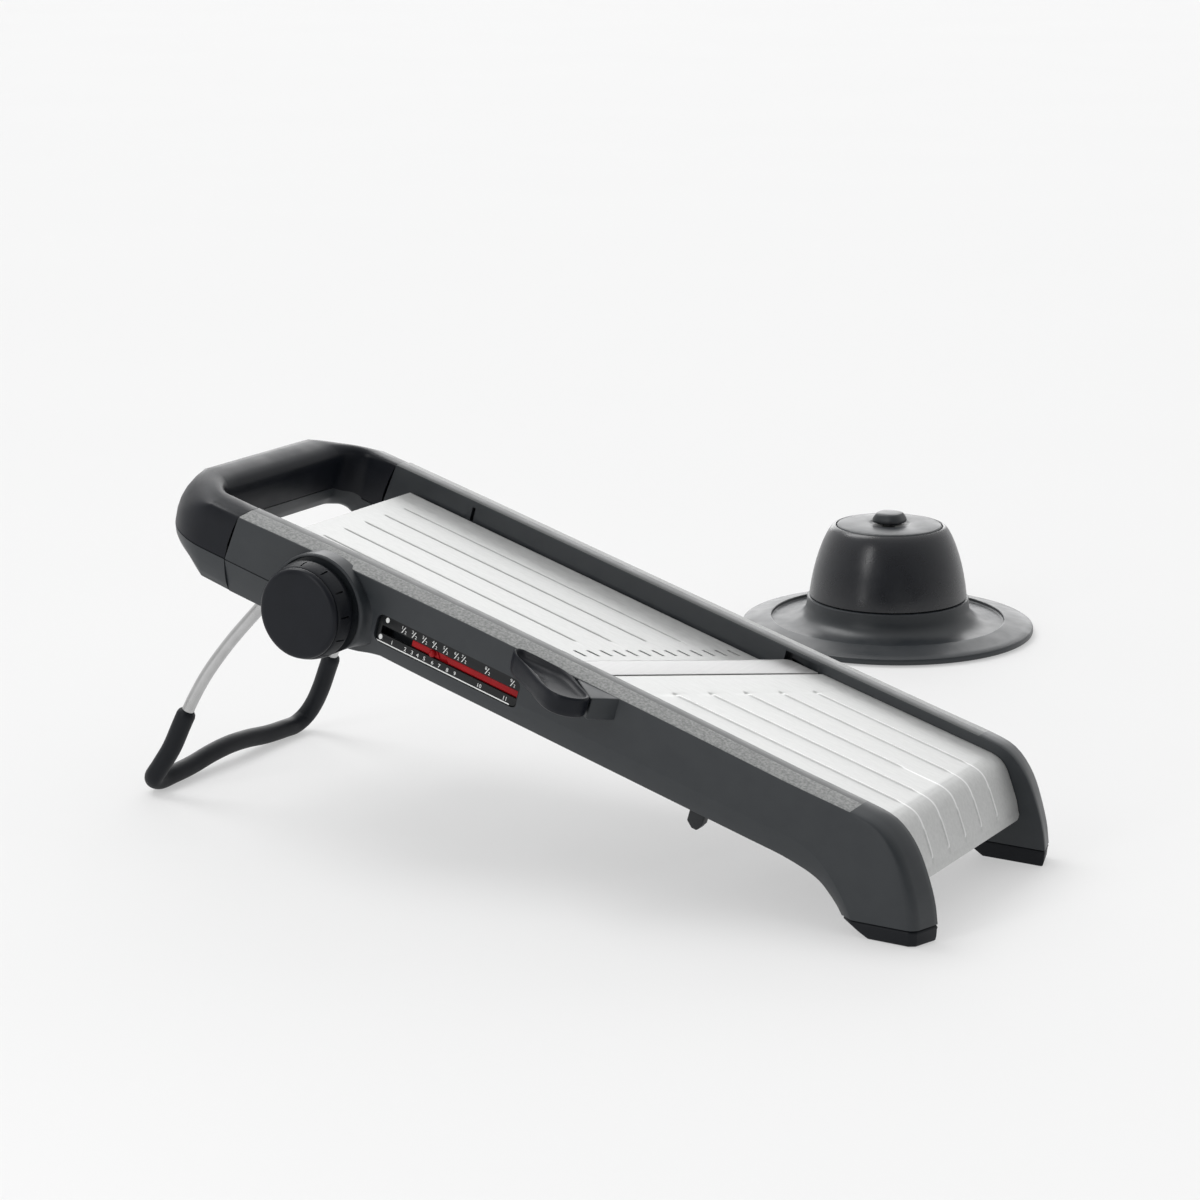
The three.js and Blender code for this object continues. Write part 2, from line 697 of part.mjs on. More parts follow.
// The bar between the two lower corners: it arches up in the middle.
function legCrossPoints() {
  return LEG_ARCH.map(([y, rise]) => new THREE.Vector3(LEG_GROUND_X, y, LEG_REST + rise));
}

function legPath() {
  const near = legSidePoints(-1);
  const far = legSidePoints(1).reverse();
  return new THREE.CatmullRomCurve3([...near, ...legCrossPoints(), ...far], false, "centripetal");
}

function legRod() {
  const rod = tube(legPath(), LEG_ROD_RADIUS, 54, 10);
  const trunnions = [-1, 1].map((side) => {
    const ends = [side * (LEG_HALF - 2), side * (RAIL_OUTER - RAIL_WALL - 1)];
    return barAcross(2.9, Math.min(...ends), Math.max(...ends), LEG_PIVOT_X, LEG_PIVOT_Z, 20);
  });
  return join(rod, ...trunnions);
}

// The rubber sleeve over the lower part of the rod.
function legSleeve() {
  const full = legPath();
  const share = 1 - 2 * SLEEVE_START;
  const points = Array.from({ length: 50 }, (_, i) => full.getPointAt(SLEEVE_START + (share * i) / 49));
  const curve = new THREE.CatmullRomCurve3(points, false, "centripetal");
  const skin = tube(curve, LEG_SLEEVE_RADIUS, 40, 12);
  const longer = tube(full, LEG_ROD_RADIUS + GAP, 54, 10);
  return cut(skin, longer);
}

// ---- Bowl hooks ----

function bowlHook(side) {
  const hook = outline([[-101, -36.5], [-101, -41], [-98, -43.5], [-95.5, -43.5], [-93.5, -40], [-93.5, -36.5]]);
  return across(hook, side * 60 - 2.5, side * 60 + 2.5);
}

// ---- Food guard ----

function guardBody() {
  return turned([
    [46.5, 0], [46.5, 6.6], [52, 5.6], [62, 4.6], [GUARD_RADIUS - 1, 1], [GUARD_RADIUS, 1.8], [GUARD_RADIUS, 3.6],
    [GUARD_RADIUS - 1, 4.4], [64.5, 8], [61.5, 7.2], [54, 8.2], [47.5, 11.1], [44.5, 15.6],
    [43.8, 19.4], [40.2, 19.4], [38.4, 30.6], [34.5, 44.6], [28, 57.1], [5.2, 57.1],
    [5.2, 54.6], [25.6, 54.6], [31.8, 43.6], [35.6, 30.6], [38, 16.6], [42.8, 7.6], [43, 0], [46.5, 0],
  ], 40);
}

function guardGrip() {
  return turned([
    [40.5, 19.7], [43.4, 19.7], [43.2, 21.6], [41.6, 32.6], [38.6, 43.6], [34.4, 54.1], [31.6, 58.2],
    [29.4, 59.5], [29.4, 57.4], [28.3, 57.4], [34.8, 44.8], [38.7, 30.8], [40.5, 19.7],
  ], 40);
}

function guardCap() {
  return turned([[5.2, 57.4], [29.1, 57.4], [29.1, 59.4], [27.5, 60.2], [5.2, 60.6], [5.2, 57.4]], 40);
}

function plungerButton() {
  const button = turned([[0, 61], [9.6, 61], [10, 61.6], [10, 64.8], [9, 66], [6, 66.6], [0, 66.8]], 32);
  return cut(button, barUp(3.3, 58.6, 63.9, 0, 0, 20));
}

function plungerRod() {
  return barUp(3, 16.9, 63.6, 0, 0, 20);
}

function pusherPlate() {
  const plate = turned([[0, 12.6], [27, 12.6], [28, 13.6], [28, 15.6], [27, 16.6], [0, 16.6]], 40);
  const prongs = Array.from({ length: 6 }, (_, i) => {
    const angle = (i * Math.PI) / 3;
    const prong = new THREE.ConeGeometry(1.6, 12, 10).rotateX(-Math.PI / 2);
    return prong.translate(17 * Math.cos(angle), 17 * Math.sin(angle), 7.1);
  });
  return join(plate, ...prongs);
}

class Helix extends THREE.Curve {
  constructor(radius, z0, z1, turns) {
    super();
    Object.assign(this, { radius, z0, z1, turns });
  }

  getPoint(t) {
    const angle = 2 * Math.PI * this.turns * t;
    const z = this.z0 + (this.z1 - this.z0) * t;
    return new THREE.Vector3(this.radius * Math.cos(angle), this.radius * Math.sin(angle), z);
  }
}

function plungerSpring() {
  return tube(new Helix(6.5, 18, 53.2, 6), 0.8, 72, 6);
}

// ---- Assembly ----

const slicer = new THREE.Group();
slicer.rotation.y = SLOPE;
slicer.position.z = FRAME_HEIGHT;
slicer.add(
  piece("near_rail", nearRail(), greyPlastic()),
  piece("far_rail", farRail(), greyPlastic()),
  piece("handle_grip", handleGrip(), blackRubber()),
  piece("handle_shell", handleShell(), greyPlastic()),
  piece("handle_bridge", handleBridge(), greyPlastic()),
  piece("landing_plate", landingPlate(), brushedSteel()),
  piece("landing_tray", landingTray(), darkPlastic()),
  piece("bowl_hook_near", bowlHook(-1), darkPlastic()),
  piece("bowl_hook_far", bowlHook(1), darkPlastic()),
  piece("blade", bladeSheet(), brushedSteel()),
  piece("blade_carrier", bladeCarrier(), darkPlastic()),
  piece("blade_grip", bladeGrip(), blackRubber()),
  piece("dial_core", dialCore(), blackRubber()),
  piece("dial_grip", dialGrip(), blackRubber()),
  piece("cam_shaft", camShaft(), brushedSteel()),
  piece("lift_cam_near", liftCam(-1), darkPlastic()),
  piece("lift_cam_far", liftCam(1), darkPlastic()),
  piece("detent_wheel", detentWheel(), darkPlastic()),
  piece("detent_spring", detentSpring(), brushedSteel()),
  piece("scale_plate", scalePlate(), scalePlastic()),
  piece("scale_marker", scaleMarker(), redPlastic()),
);
SCREW_PLACES.forEach((place, i) => {
  slicer.add(piece(`tray_screw_${i + 1}`, trayScrew(place), brushedSteel()));
});
RIVET_PLACES.forEach((y, i) => {
  slicer.add(piece(`blade_rivet_${i + 1}`, bladeRivet(y), brushedSteel()));
});

// The runway dips a little from its hinge towards the blade.
const runway = new THREE.Group();
runway.position.set(HINGE_U, 0, HINGE_W);
runway.rotation.y = RUNWAY_DIP;
const runwayPieces = new THREE.Group();
runwayPieces.position.set(-HINGE_U, 0, -HINGE_W);
runwayPieces.add(
  piece("runway_plate", runwayPlate(), brushedSteel()),
  piece("runway_frame", runwayFrame(), darkPlastic()),
  piece("hinge_pin_near", hingePin(-1), brushedSteel()),
  piece("hinge_pin_far", hingePin(1), brushedSteel()),
  piece("julienne_comb", combBlades(), brushedSteel()),
  piece("julienne_bar", combBar(), darkPlastic()),
);
runway.add(runwayPieces);
slicer.add(runway);

const guard = new THREE.Group();
guard.position.set(GUARD_X, GUARD_Y, 0);
guard.add(
  piece("guard_body", guardBody(), greyPlastic()),
  piece("guard_grip", guardGrip(), blackRubber()),
  piece("guard_cap", guardCap(), greyPlastic()),
  piece("plunger_button", plungerButton(), greyPlastic()),
  piece("plunger_rod", plungerRod(), brushedSteel()),
  piece("pusher_plate", pusherPlate(), darkPlastic()),
  piece("plunger_spring", plungerSpring(), brushedSteel()),
);

const onTable = new THREE.Group();
onTable.add(
  slicer,
  guard,
  piece("foot_pad_near", footPad(), blackRubber()),
  piece("foot_pad_far", mirrored(footPad()), blackRubber()),
  piece("leg_rod", legRod(), brushedSteel()),
  piece("leg_sleeve", legSleeve(), blackRubber()),
);

// The origin is on the table, at the middle of everything that stands on it.
const group = new THREE.Group();
group.add(onTable);
group.updateMatrixWorld(true);
const extent = new THREE.Box3().setFromObject(onTable, true);
const middle = extent.getCenter(new THREE.Vector3());
onTable.position.set(-middle.x, -middle.y, 0);

export default group;
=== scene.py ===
"""Looks of the mandoline slicer and its food guard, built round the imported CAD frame.

Shapes are drawn in millimetres in four places: on the table, on the sloping
slicer (u along it, y across, w out of the slicing surface), on the runway,
and on the food guard. Each place's matrix turns them into metres. A shape is
(points, faces, paints), and paints holds each face's material number.
"""
import math

import bmesh
import bpy
from mathutils import Matrix, Vector


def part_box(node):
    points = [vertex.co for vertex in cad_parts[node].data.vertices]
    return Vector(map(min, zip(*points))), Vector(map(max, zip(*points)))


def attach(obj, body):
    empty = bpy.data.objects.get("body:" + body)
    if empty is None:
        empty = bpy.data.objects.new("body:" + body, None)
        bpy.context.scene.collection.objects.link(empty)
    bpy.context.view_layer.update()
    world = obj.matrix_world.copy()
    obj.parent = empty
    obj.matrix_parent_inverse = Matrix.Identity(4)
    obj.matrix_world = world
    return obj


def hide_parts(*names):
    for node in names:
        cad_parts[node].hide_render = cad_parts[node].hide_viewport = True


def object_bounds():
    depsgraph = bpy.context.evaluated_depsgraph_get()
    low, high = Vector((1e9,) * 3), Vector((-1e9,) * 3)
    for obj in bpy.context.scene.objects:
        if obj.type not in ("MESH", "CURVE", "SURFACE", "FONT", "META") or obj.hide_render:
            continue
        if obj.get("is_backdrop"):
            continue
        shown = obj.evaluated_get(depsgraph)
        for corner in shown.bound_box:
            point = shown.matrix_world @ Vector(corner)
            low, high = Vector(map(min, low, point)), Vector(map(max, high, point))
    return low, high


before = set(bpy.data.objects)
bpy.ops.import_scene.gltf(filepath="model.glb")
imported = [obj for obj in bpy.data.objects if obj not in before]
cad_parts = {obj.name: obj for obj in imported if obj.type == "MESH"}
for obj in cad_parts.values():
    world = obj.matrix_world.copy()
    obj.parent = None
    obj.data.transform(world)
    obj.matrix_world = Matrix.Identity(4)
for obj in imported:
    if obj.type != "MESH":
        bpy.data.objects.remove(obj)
cad_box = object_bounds()

# ---- Places ----

# The slicer's origin is FRAME_HEIGHT above the table, and PAD_TOE behind the pads' toes.
SLOPE = math.radians(16)
FRAME_HEIGHT = 46.7
RUNWAY_DIP = math.radians(0.5)
HINGE = Vector((-331, 0, -14.5))
PAD_TOE = 4.9

pad_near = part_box("foot_pad_near")
pad_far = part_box("foot_pad_far")
origin = Vector((pad_near[1].x - PAD_TOE / 1000, (pad_near[0].y + pad_far[1].y) / 2, 0))
MILLI = Matrix.Scale(0.001, 4)
TABLE = Matrix.Translation(origin) @ MILLI
SLICER = TABLE @ Matrix.Translation((0, 0, FRAME_HEIGHT)) @ Matrix.Rotation(SLOPE, 4, "Y")
RUNWAY = (
    SLICER
    @ Matrix.Translation(HINGE)
    @ Matrix.Rotation(RUNWAY_DIP, 4, "Y")
    @ Matrix.Translation(-HINGE)
)
guard_low, guard_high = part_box("guard_body")
guard_middle = (guard_low + guard_high) / 2
GUARD = Matrix.Translation((guard_middle.x, guard_middle.y, 0)) @ MILLI


def sloped(x, z):
    """A place above the table (x, z) in the slicer's (u, w)."""
    height = z - FRAME_HEIGHT
    return (
        x * math.cos(SLOPE) - height * math.sin(SLOPE),
        x * math.sin(SLOPE) + height * math.cos(SLOPE),
    )


# ---- Shapes ----


def loft(rows, loop=True, caps=True, paint=0):
    """Skins a list of rows of points. paint may be a function of (row, column)."""
    count = len(rows[0])
    points = [Vector(p) for row in rows for p in row]
    faces = []
    paints = []
    for i in range(len(rows) - 1):
        for j in range(count if loop else count - 1):
            a, b = i * count + j, i * count + (j + 1) % count
            faces.append((a, b, b + count, a + count))
            paints.append(paint(i, j) if callable(paint) else paint)
    if caps:
        faces.append(tuple(range(count)))
        faces.append(tuple((len(rows) - 1) * count + j for j in range(count)))
        paints += [0, 0]
    return points, faces, paints


def lathe(profile, sides=96):
    """A profile of (radius, height) turned round the local Z axis."""
    rows = [
        [
            (r * math.cos(2 * math.pi * j / sides), r * math.sin(2 * math.pi * j / sides), h)
            for j in range(sides)
        ]
        for r, h in profile
    ]
    return loft(rows, caps=False)


def prism(outline, low, high, axis="w"):
    """An outline in (u, y) pushed along w, or in (u, w) pushed along y."""
    if axis == "w":
        rows = [[(a, b, level) for a, b in outline] for level in (low, high)]
    else:
        rows = [[(a, level, b) for a, b in outline] for level in (low, high)]
    return loft(rows)


def block(u0, u1, y0, y1, w0, w1):
    return prism([(u0, y0), (u1, y0), (u1, y1), (u0, y1)], w0, w1)


def merged(*shapes):
    """Several shapes as one."""
    points, faces, paints = [], [], []
    for some_points, some_faces, some_paints in shapes:
        start = len(points)
        points += some_points
        faces += [tuple(start + i for i in face) for face in some_faces]
        paints += some_paints
    return points, faces, paints


def moved(shape, matrix):
    points, faces, paints = shape
    return [matrix @ Vector(p) for p in points], faces, paints


def facing_out(shape, u, w, y=0):
    """Turns a lathed shape so that its height runs out of the near side (-y)."""
    return moved(shape, Matrix.Translation((u, y, w)) @ Matrix.Rotation(math.pi / 2, 4, "X"))


def mirrored(shape):
    """The same shape on the far side."""
    return moved(shape, Matrix.Scale(-1, 4, (0, 1, 0)))


FINE_STEPS = 24


def curve_through(points, steps):
    """Catmull-Rom points at even distances through a list of places."""
    places = [Vector(p) for p in points]
    padded = [2 * places[0] - places[1]] + places + [2 * places[-1] - places[-2]]
    fine = []
    for i in range(len(places) - 1):
        p0, p1, p2, p3 = padded[i : i + 4]
        knots = [0]
        for a, b in ((p0, p1), (p1, p2), (p2, p3)):
            knots.append(knots[-1] + max((b - a).length, 1e-6) ** 0.5)
        t0, t1, t2, t3 = knots
        for k in range(FINE_STEPS):
            t = t1 + (t2 - t1) * k / FINE_STEPS
            a1 = p0.lerp(p1, (t - t0) / (t1 - t0))
            a2 = p1.lerp(p2, (t - t1) / (t2 - t1))
            a3 = p2.lerp(p3, (t - t2) / (t3 - t2))
            b1 = a1.lerp(a2, (t - t0) / (t2 - t0))
            b2 = a2.lerp(a3, (t - t1) / (t3 - t1))
            fine.append(b1.lerp(b2, (t - t1) / (t2 - t1)))
    fine.append(places[-1])
    return resampled(fine, steps)


def resampled(fine, steps, start=0.0, end=1.0):
    """Places at even distances between two shares of a fine line's length."""
    lengths = [0.0]
    for a, b in zip(fine, fine[1:]):
        lengths.append(lengths[-1] + (b - a).length)
    even = []
    i = 0
    for k in range(steps + 1):
        want = lengths[-1] * (start + (end - start) * k / steps)
        while i < len(fine) - 2 and lengths[i + 1] < want:
            i += 1
        span = max(lengths[i + 1] - lengths[i], 1e-9)
        even.append(fine[i].lerp(fine[i + 1], (want - lengths[i]) / span))
    return even


def tube(path, radius_at, sides=20):
    """A round tube along a path; radius_at(i) is its radius at point i."""
    tangent = (path[1] - path[0]).normalized()
    side = tangent.orthogonal().normalized()
    rows = []
    for i, place in enumerate(path):
        ahead = path[min(i + 1, len(path) - 1)]
        behind = path[max(i - 1, 0)]
        tangent = (ahead - behind).normalized()
        side = (side - tangent * side.dot(tangent)).normalized()
        other = tangent.cross(side)
        row = []
        for j in range(sides):
            angle = 2 * math.pi * j / sides
            turn = side * math.cos(angle) + other * math.sin(angle)
            row.append(place + turn * radius_at(i))
        rows.append(row)
    return loft(rows)


def smooth(t):
    """Rises from 0 to 1, level at both ends."""
    t = min(max(t, 0.0), 1.0)
    return t * t * (3 - 2 * t)


def between(table, x):
    """The value at x on a line through (x, value) pairs."""
    if x <= table[0][0]:
        return table[0][1]
    for (a, va), (b, vb) in zip(table, table[1:]):
        if x <= b:
            return va + (vb - va) * (x - a) / (b - a)
    return table[-1][1]


# ---- Materials ----


def node(tree, kind, **settings):
    made = tree.nodes.new(kind)
    for key, value in settings.items():
        if hasattr(made, key):
            setattr(made, key, value)
        else:
            made.inputs[key].default_value = value
    return made


def noise(tree, scale, detail=2.0, stretch=None):
    """Noise in the row frame; stretch scales it along the slicer's u, y and w."""
    coordinates = node(tree, "ShaderNodeTexCoord")
    texture = node(tree, "ShaderNodeTexNoise", Scale=scale, Detail=detail)
    if stretch is None:
        tree.links.new(coordinates.outputs["Object"], texture.inputs["Vector"])
        return texture
    mapping = node(tree, "ShaderNodeMapping")
    mapping.inputs["Rotation"].default_value = (0, -SLOPE, 0)
    mapping.inputs["Scale"].default_value = stretch
    tree.links.new(coordinates.outputs["Object"], mapping.inputs["Vector"])
    tree.links.new(mapping.outputs["Vector"], texture.inputs["Vector"])
    return texture


NOISE_SPAN = (0.3, 0.7)


def ranged(tree, source, from_span, to_span):
    """The source's values, from one span to another."""
    made = node(tree, "ShaderNodeMapRange")
    for side, ends in (("From", from_span), ("To", to_span)):
        made.inputs[f"{side} Min"].default_value = ends[0]
        made.inputs[f"{side} Max"].default_value = ends[1]
    tree.links.new(source, made.inputs["Value"])
    return made.outputs["Result"]


def finish(name, dark, light, roughness, metallic=0.0, specular=0.5, tone=(90, 2.0, None),
           grain=None):
    """A material whose colour wanders between dark and light, and its roughness over
    a span. tone is that noise's (scale, detail, stretch), and grain is the bump's
    (scale, height in mm, stretch)."""
    material = bpy.data.materials.new(name)
    material.use_nodes = True
    tree = material.node_tree
    shader = tree.nodes["Principled BSDF"]
    shader.inputs["Metallic"].default_value = metallic
    shader.inputs["Specular IOR Level"].default_value = specular
    wander = noise(tree, *tone).outputs["Fac"]
    mix = node(tree, "ShaderNodeMix", data_type="RGBA")
    ends = {"A": (*dark, 1), "B": (*light, 1)}
    for socket in mix.inputs:
        if socket.type == "RGBA":
            socket.default_value = ends[socket.name]
    tree.links.new(ranged(tree, wander, NOISE_SPAN, (0.0, 1.0)), mix.inputs["Factor"])
    colour = next(socket for socket in mix.outputs if socket.type == "RGBA")
    tree.links.new(colour, shader.inputs["Base Color"])
    tree.links.new(ranged(tree, wander, NOISE_SPAN, roughness), shader.inputs["Roughness"])
    if grain:
        scale, height, stretch = grain
        texture = noise(tree, scale, stretch=stretch)
        bump = node(tree, "ShaderNodeBump", Strength=1.0, Distance=height / 1000)
        tree.links.new(texture.outputs["Fac"], bump.inputs["Height"])
        tree.links.new(bump.outputs["Normal"], shader.inputs["Normal"])
    return material


# The brushed plates are drawn out along the slicer, and the blade's grind across it.
ALONG, ACROSS = (6, 700, 700), (500, 12, 500)
BRUSHED = {"tone": (1, 3.0, ALONG), "grain": (1, 0.004, ALONG)}
GROUND = {"tone": (1, 3.0, ACROSS), "grain": (1, 0.003, ACROSS)}
GREY = finish("moulded grey plastic", (0.017, 0.021, 0.025), (0.023, 0.027, 0.031),
              (0.36, 0.46), grain=(2600, 0.012, None))
# Painted sheen: the grained top strip gets a lighter grey for the light it catches; its grain bump
# is real.
SHEEN_AND_GRAIN = finish("grey grain plastic with painted sheen", (0.15, 0.155, 0.155), (0.32, 0.325, 0.32),
                 (0.46, 0.58), tone=(900, 2.0, None), grain=(1100, 0.16, None))
# Painted light: a lighter grey for the rail's inner top strip, standing in for the light that falls
# on it from above.
TOP_LIGHT_STRIP = finish("grey plastic with painted top light", (0.075, 0.08, 0.08), (0.095, 0.10, 0.10),
                    (0.40, 0.50), grain=(2600, 0.012, None))
DARK = finish("dark plastic", (0.012, 0.014, 0.016), (0.018, 0.020, 0.022),
              (0.42, 0.52), specular=0.35, grain=(2200, 0.012, None))
BLACK = finish("black soft plastic", (0.0040, 0.0052, 0.0085), (0.0060, 0.0075, 0.0115),
               (0.34, 0.44), specular=0.22, grain=(1900, 0.02, None))
GLEAMING = finish("black satin plastic", (0.0040, 0.0052, 0.0085), (0.0060, 0.0075, 0.0115),
                  (0.25, 0.33), specular=0.6, grain=(1300, 0.05, None))
RUBBER = finish("black rubber", (0.0045, 0.0058, 0.0085), (0.0080, 0.0095, 0.0125),
                (0.44, 0.56), specular=0.22, grain=(1500, 0.02, None))
STEEL = finish("brushed steel", (0.49, 0.495, 0.49), (0.56, 0.565, 0.56), (0.36, 0.46),
               metallic=0.4, **BRUSHED)
# Painted highlight: the landing plate's raised ribs get this brighter steel for the light they
# catch.
RIB_HIGHLIGHT = finish("steel with painted rib highlight", (0.74, 0.74, 0.74), (0.80, 0.80, 0.80), (0.30, 0.40),
               metallic=0.2, **BRUSHED)
# Painted shade: the runway's grooves get this darker steel.
GROOVE = finish("shaded steel", (0.30, 0.305, 0.30), (0.36, 0.365, 0.36), (0.40, 0.50),
                metallic=0.4, **BRUSHED)
BLADE_STEEL = finish("ground blade steel", (0.36, 0.36, 0.36), (0.44, 0.44, 0.44),
                     (0.32, 0.42), metallic=0.45, **GROUND)
ROD_STEEL = finish("drawn steel", (0.46, 0.46, 0.46), (0.56, 0.56, 0.56), (0.26, 0.34),
                   metallic=1.0, grain=(900, 0.006, None))
SPRING = finish("spring steel", (0.42, 0.42, 0.43), (0.55, 0.55, 0.56), (0.25, 0.38),
                metallic=1.0, grain=(900, 0.006, None))
RED = finish("red plastic", (0.26, 0.004, 0.007), (0.38, 0.006, 0.010), (0.30, 0.40),
             specular=0.2, grain=(1500, 0.005, None))
SCALE = finish("scale plastic", (0.006, 0.007, 0.008), (0.010, 0.011, 0.012), (0.32, 0.42),
               specular=0.3, grain=(2200, 0.008, None))
PRINT = finish("white print", (0.80, 0.81, 0.80), (0.88, 0.89, 0.88), (0.5, 0.6),
               grain=(2500, 0.004, None))


# ---- Pieces ----


def mesh_object(name, shape, place):
    """A shape as an object, with its points brought from a place into the row frame."""
    points, faces, paints = shape
    mesh = bpy.data.meshes.new(name)
    work = bmesh.new()
    corners = [work.verts.new(place @ Vector(p)) for p in points]
    for face, paint in zip(faces, paints):
        work.faces.new([corners[i] for i in face]).material_index = paint
    bmesh.ops.remove_doubles(work, verts=work.verts, dist=1e-6)
    bmesh.ops.dissolve_degenerate(work, edges=work.edges, dist=1e-6)
    bmesh.ops.recalc_face_normals(work, faces=work.faces)
    work.to_mesh(mesh)
    work.free()
    made = bpy.data.objects.new(name, mesh)
    bpy.context.scene.collection.objects.link(made)
    return made


def apply_modifiers(made):
    graph = bpy.context.evaluated_depsgraph_get()
    mesh = bpy.data.meshes.new_from_object(made.evaluated_get(graph))
    old = made.data
    made.modifiers.clear()
    made.data = mesh
    mesh.name = made.name
    bpy.data.meshes.remove(old)


def piece(name, shape, place, materials, body, replaces=(), cuts=(), bevel=0.0,
          bevel_limit=40, crease=35):
    """One visible piece that rides on a body. cuts are shapes taken out of it. Edges
    over bevel_limit degrees are rounded by bevel mm, and those over crease stay sharp."""
    materials = materials if isinstance(materials, (list, tuple)) else [materials]
    made = mesh_object(name, shape, place)
    for material in materials:
        made.data.materials.append(material)
    tools = []
    for i, tool_shape in enumerate(cuts):
        tool = mesh_object(f"{name}_cut_{i}", tool_shape, place)
        tools.append(tool)
        carve = made.modifiers.new("carve", "BOOLEAN")
        carve.operation = "DIFFERENCE"
        carve.solver = "EXACT"
        carve.object = tool
    if bevel:
        edge = made.modifiers.new("edges", "BEVEL")
        edge.width = bevel / 1000
        edge.segments = 3
        edge.limit_method = "ANGLE"
        edge.angle_limit = math.radians(bevel_limit)
        edge.use_clamp_overlap = True
    apply_modifiers(made)
    for tool in tools:
        mesh = tool.data
        bpy.data.objects.remove(tool)
        bpy.data.meshes.remove(mesh)
    made.data.shade_smooth()
    made.data.set_sharp_from_angle(angle=math.radians(crease))
    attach(made, body)
    if replaces:
        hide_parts(*replaces)
    return made


# ---- Rails ----

RAIL_INNER = 54.1
RAIL_OUTER = 68.5
STRIP_EDGE = 60.0
EDGE_DROP = 2.0
CREASE_W = -24.0
RAIL_BOTTOM = [(-346, -39), (-283, -39), (-279, -38.6), (-274, -37.5), (-269, -36),
               (-265, -35.1), (-262.7, -34.7), (-256, -34.8), (-240, -35)]
CROWN_NEAR = [(-346, 0), (-320, 0.7), (-280, 1.3), (-220, 1.6), (-160, 1.3), (-100, 0.6),
              (-62, 0)]
CROWN_FAR = [(-346, 0.4), (-300, 0.5), (-200, 0.2), (-62, 0)]
STRAIGHT = [-346, -343, -335, -325, -313, -300, -288, -283, -280, -277, -274, -271, -268.5,
            -266, -264, -262.7, -260, -250, -235, -220, -205, -190, -175, -160, -145, -130,
            -115, -100, -85, -72]
# The foot's front, crease and back, in (x, z) above the table.
FRONT_LINE = [(-59.6, 63.8), (-40, 58.2), (-23.1, 53.3), (-17.8, 51.5), (-13.4, 49.0),
              (-8.7, 44.6), (-3.9, 37.5), (0.9, 25.8), (3.8, 15.6), (4.9, 7.4)]
CREASE_LINE = [(-66.2, 40.7), (-58, 38.6), (-51.7, 35.9), (-46.5, 33.0), (-42.4, 29.8),
               (-37.7, 24.3), (-33, 17.4), (-29.5, 10.6), (-28, 7.4)]
BACK_LINE = [(-69.2, 30.2), (-64, 28.7), (-58, 26.6), (-49, 22.8), (-44, 19.6), (-39.6, 15.0),
             (-36, 10.4), (-34.2, 7.4)]
FOOT_STEPS = 26
# The grained strip, lighter with painted sheen, ends nine rows down the foot.
SHEEN_AND_GRAIN_ROWS = len(STRAIGHT) + 9
SEAM_U, SEAM_BOW, SEAM_DEPTH = -346.7, 3.4, 39


def seam(w):
    """The bowed line where the rails meet the handle."""
    return SEAM_U - SEAM_BOW * math.sin(math.pi * min(max(-w / SEAM_DEPTH, 0), 1))


def rail_row(top, crease, bottom, foot):
    """One section of the near rail, from places in (u, w). foot goes from 0 to 1 down
    the foot, where the front sweeps back towards the outer side."""
    top, crease, bottom = Vector(top), Vector(crease), Vector(bottom)
    reach = crease - top
    down = reach.normalized()
    drops = []
    for y in (54.9, 57.4, STRIP_EDGE, 62.2, 64.4, 66.2, 67.5):
        plain = max(0.0, (y - STRIP_EDGE) / (RAIL_OUTER - STRIP_EDGE) * EDGE_DROP)
        swept = between([(54.1, 0), (61, 2), (66.6, 3.6), (68.5, 6.5)], y)
        drops.append((y, (1 - foot) * plain + foot * swept))
    last = drops[-1][1]
    soft = 0.6 + 2.0 * foot
    row = [(RAIL_INNER, top + down * 1.0), (RAIL_INNER + 0.2, top + down * 0.35)]
    row += [(y, top + down * drop) for y, drop in drops]
    row += [
        (68.15, top + down * (last + 0.35 * soft + 0.1)),
        (68.45, top + down * (last + 1.1 * soft)),
        (RAIL_OUTER, top + down * (last + 2.4 * soft)),
        (RAIL_OUTER, top + reach * 0.6),
        (RAIL_OUTER, crease - down * 0.5),
        (68.35, crease + (bottom - crease) * 0.03),
        (66.4, crease + (bottom - crease) * 0.5),
        (64.75, crease + (bottom - crease) * 0.95),
        (64.3, bottom),
        (59, bottom),
        (RAIL_INNER + 0.3, bottom),
        (RAIL_INNER, bottom - (bottom - crease) * 0.05),
        (RAIL_INNER, crease),
    ]
    return [(place.x, -y, place.y) for y, place in row]


def rail_paint(row, column):
    """The grained strip on the rail's top, lighter with painted sheen, and inside it a strip
    lighter with painted top light.
    """
    if row >= SHEEN_AND_GRAIN_ROWS:
        return 0
    return 2 if 1 <= column <= 3 else 1 if 4 <= column <= 8 else 0


def rail_skin(crown):
    """A near rail whose top follows crown: straight sections, then the foot's."""
    rows = []
    for u in STRAIGHT:
        bottom = between(RAIL_BOTTOM, u)
        row = rail_row((u, between(crown, u)), (u, CREASE_W), (u, bottom), 0)
        if u == STRAIGHT[0]:
            row = [(seam(w), y, w) for _, y, w in row]
        rows.append(row)
    lines = [
        curve_through([sloped(*p) + (0,) for p in line], FOOT_STEPS)
        for line in (FRONT_LINE, CREASE_LINE, BACK_LINE)
    ]
    for i, (top, crease, bottom) in enumerate(zip(*lines)):
        foot = smooth((i / FOOT_STEPS - 0.3) / 0.7)
        rows.append(rail_row(top.xy, crease.xy, bottom.xy, foot))
    return loft(rows, paint=rail_paint)


def rail_pocket(u0, u1):
    """A hollow in the rail's underside."""
    return block(u0, u1, -61.6, -57.3, -60, -6)


DIAL_U, DIAL_W = -294.6, -22.7
BOSS_ABOVE, BOSS_BELOW = 24.3, 21.8
FLARE_START, FLARE_BLEND = 6, 12


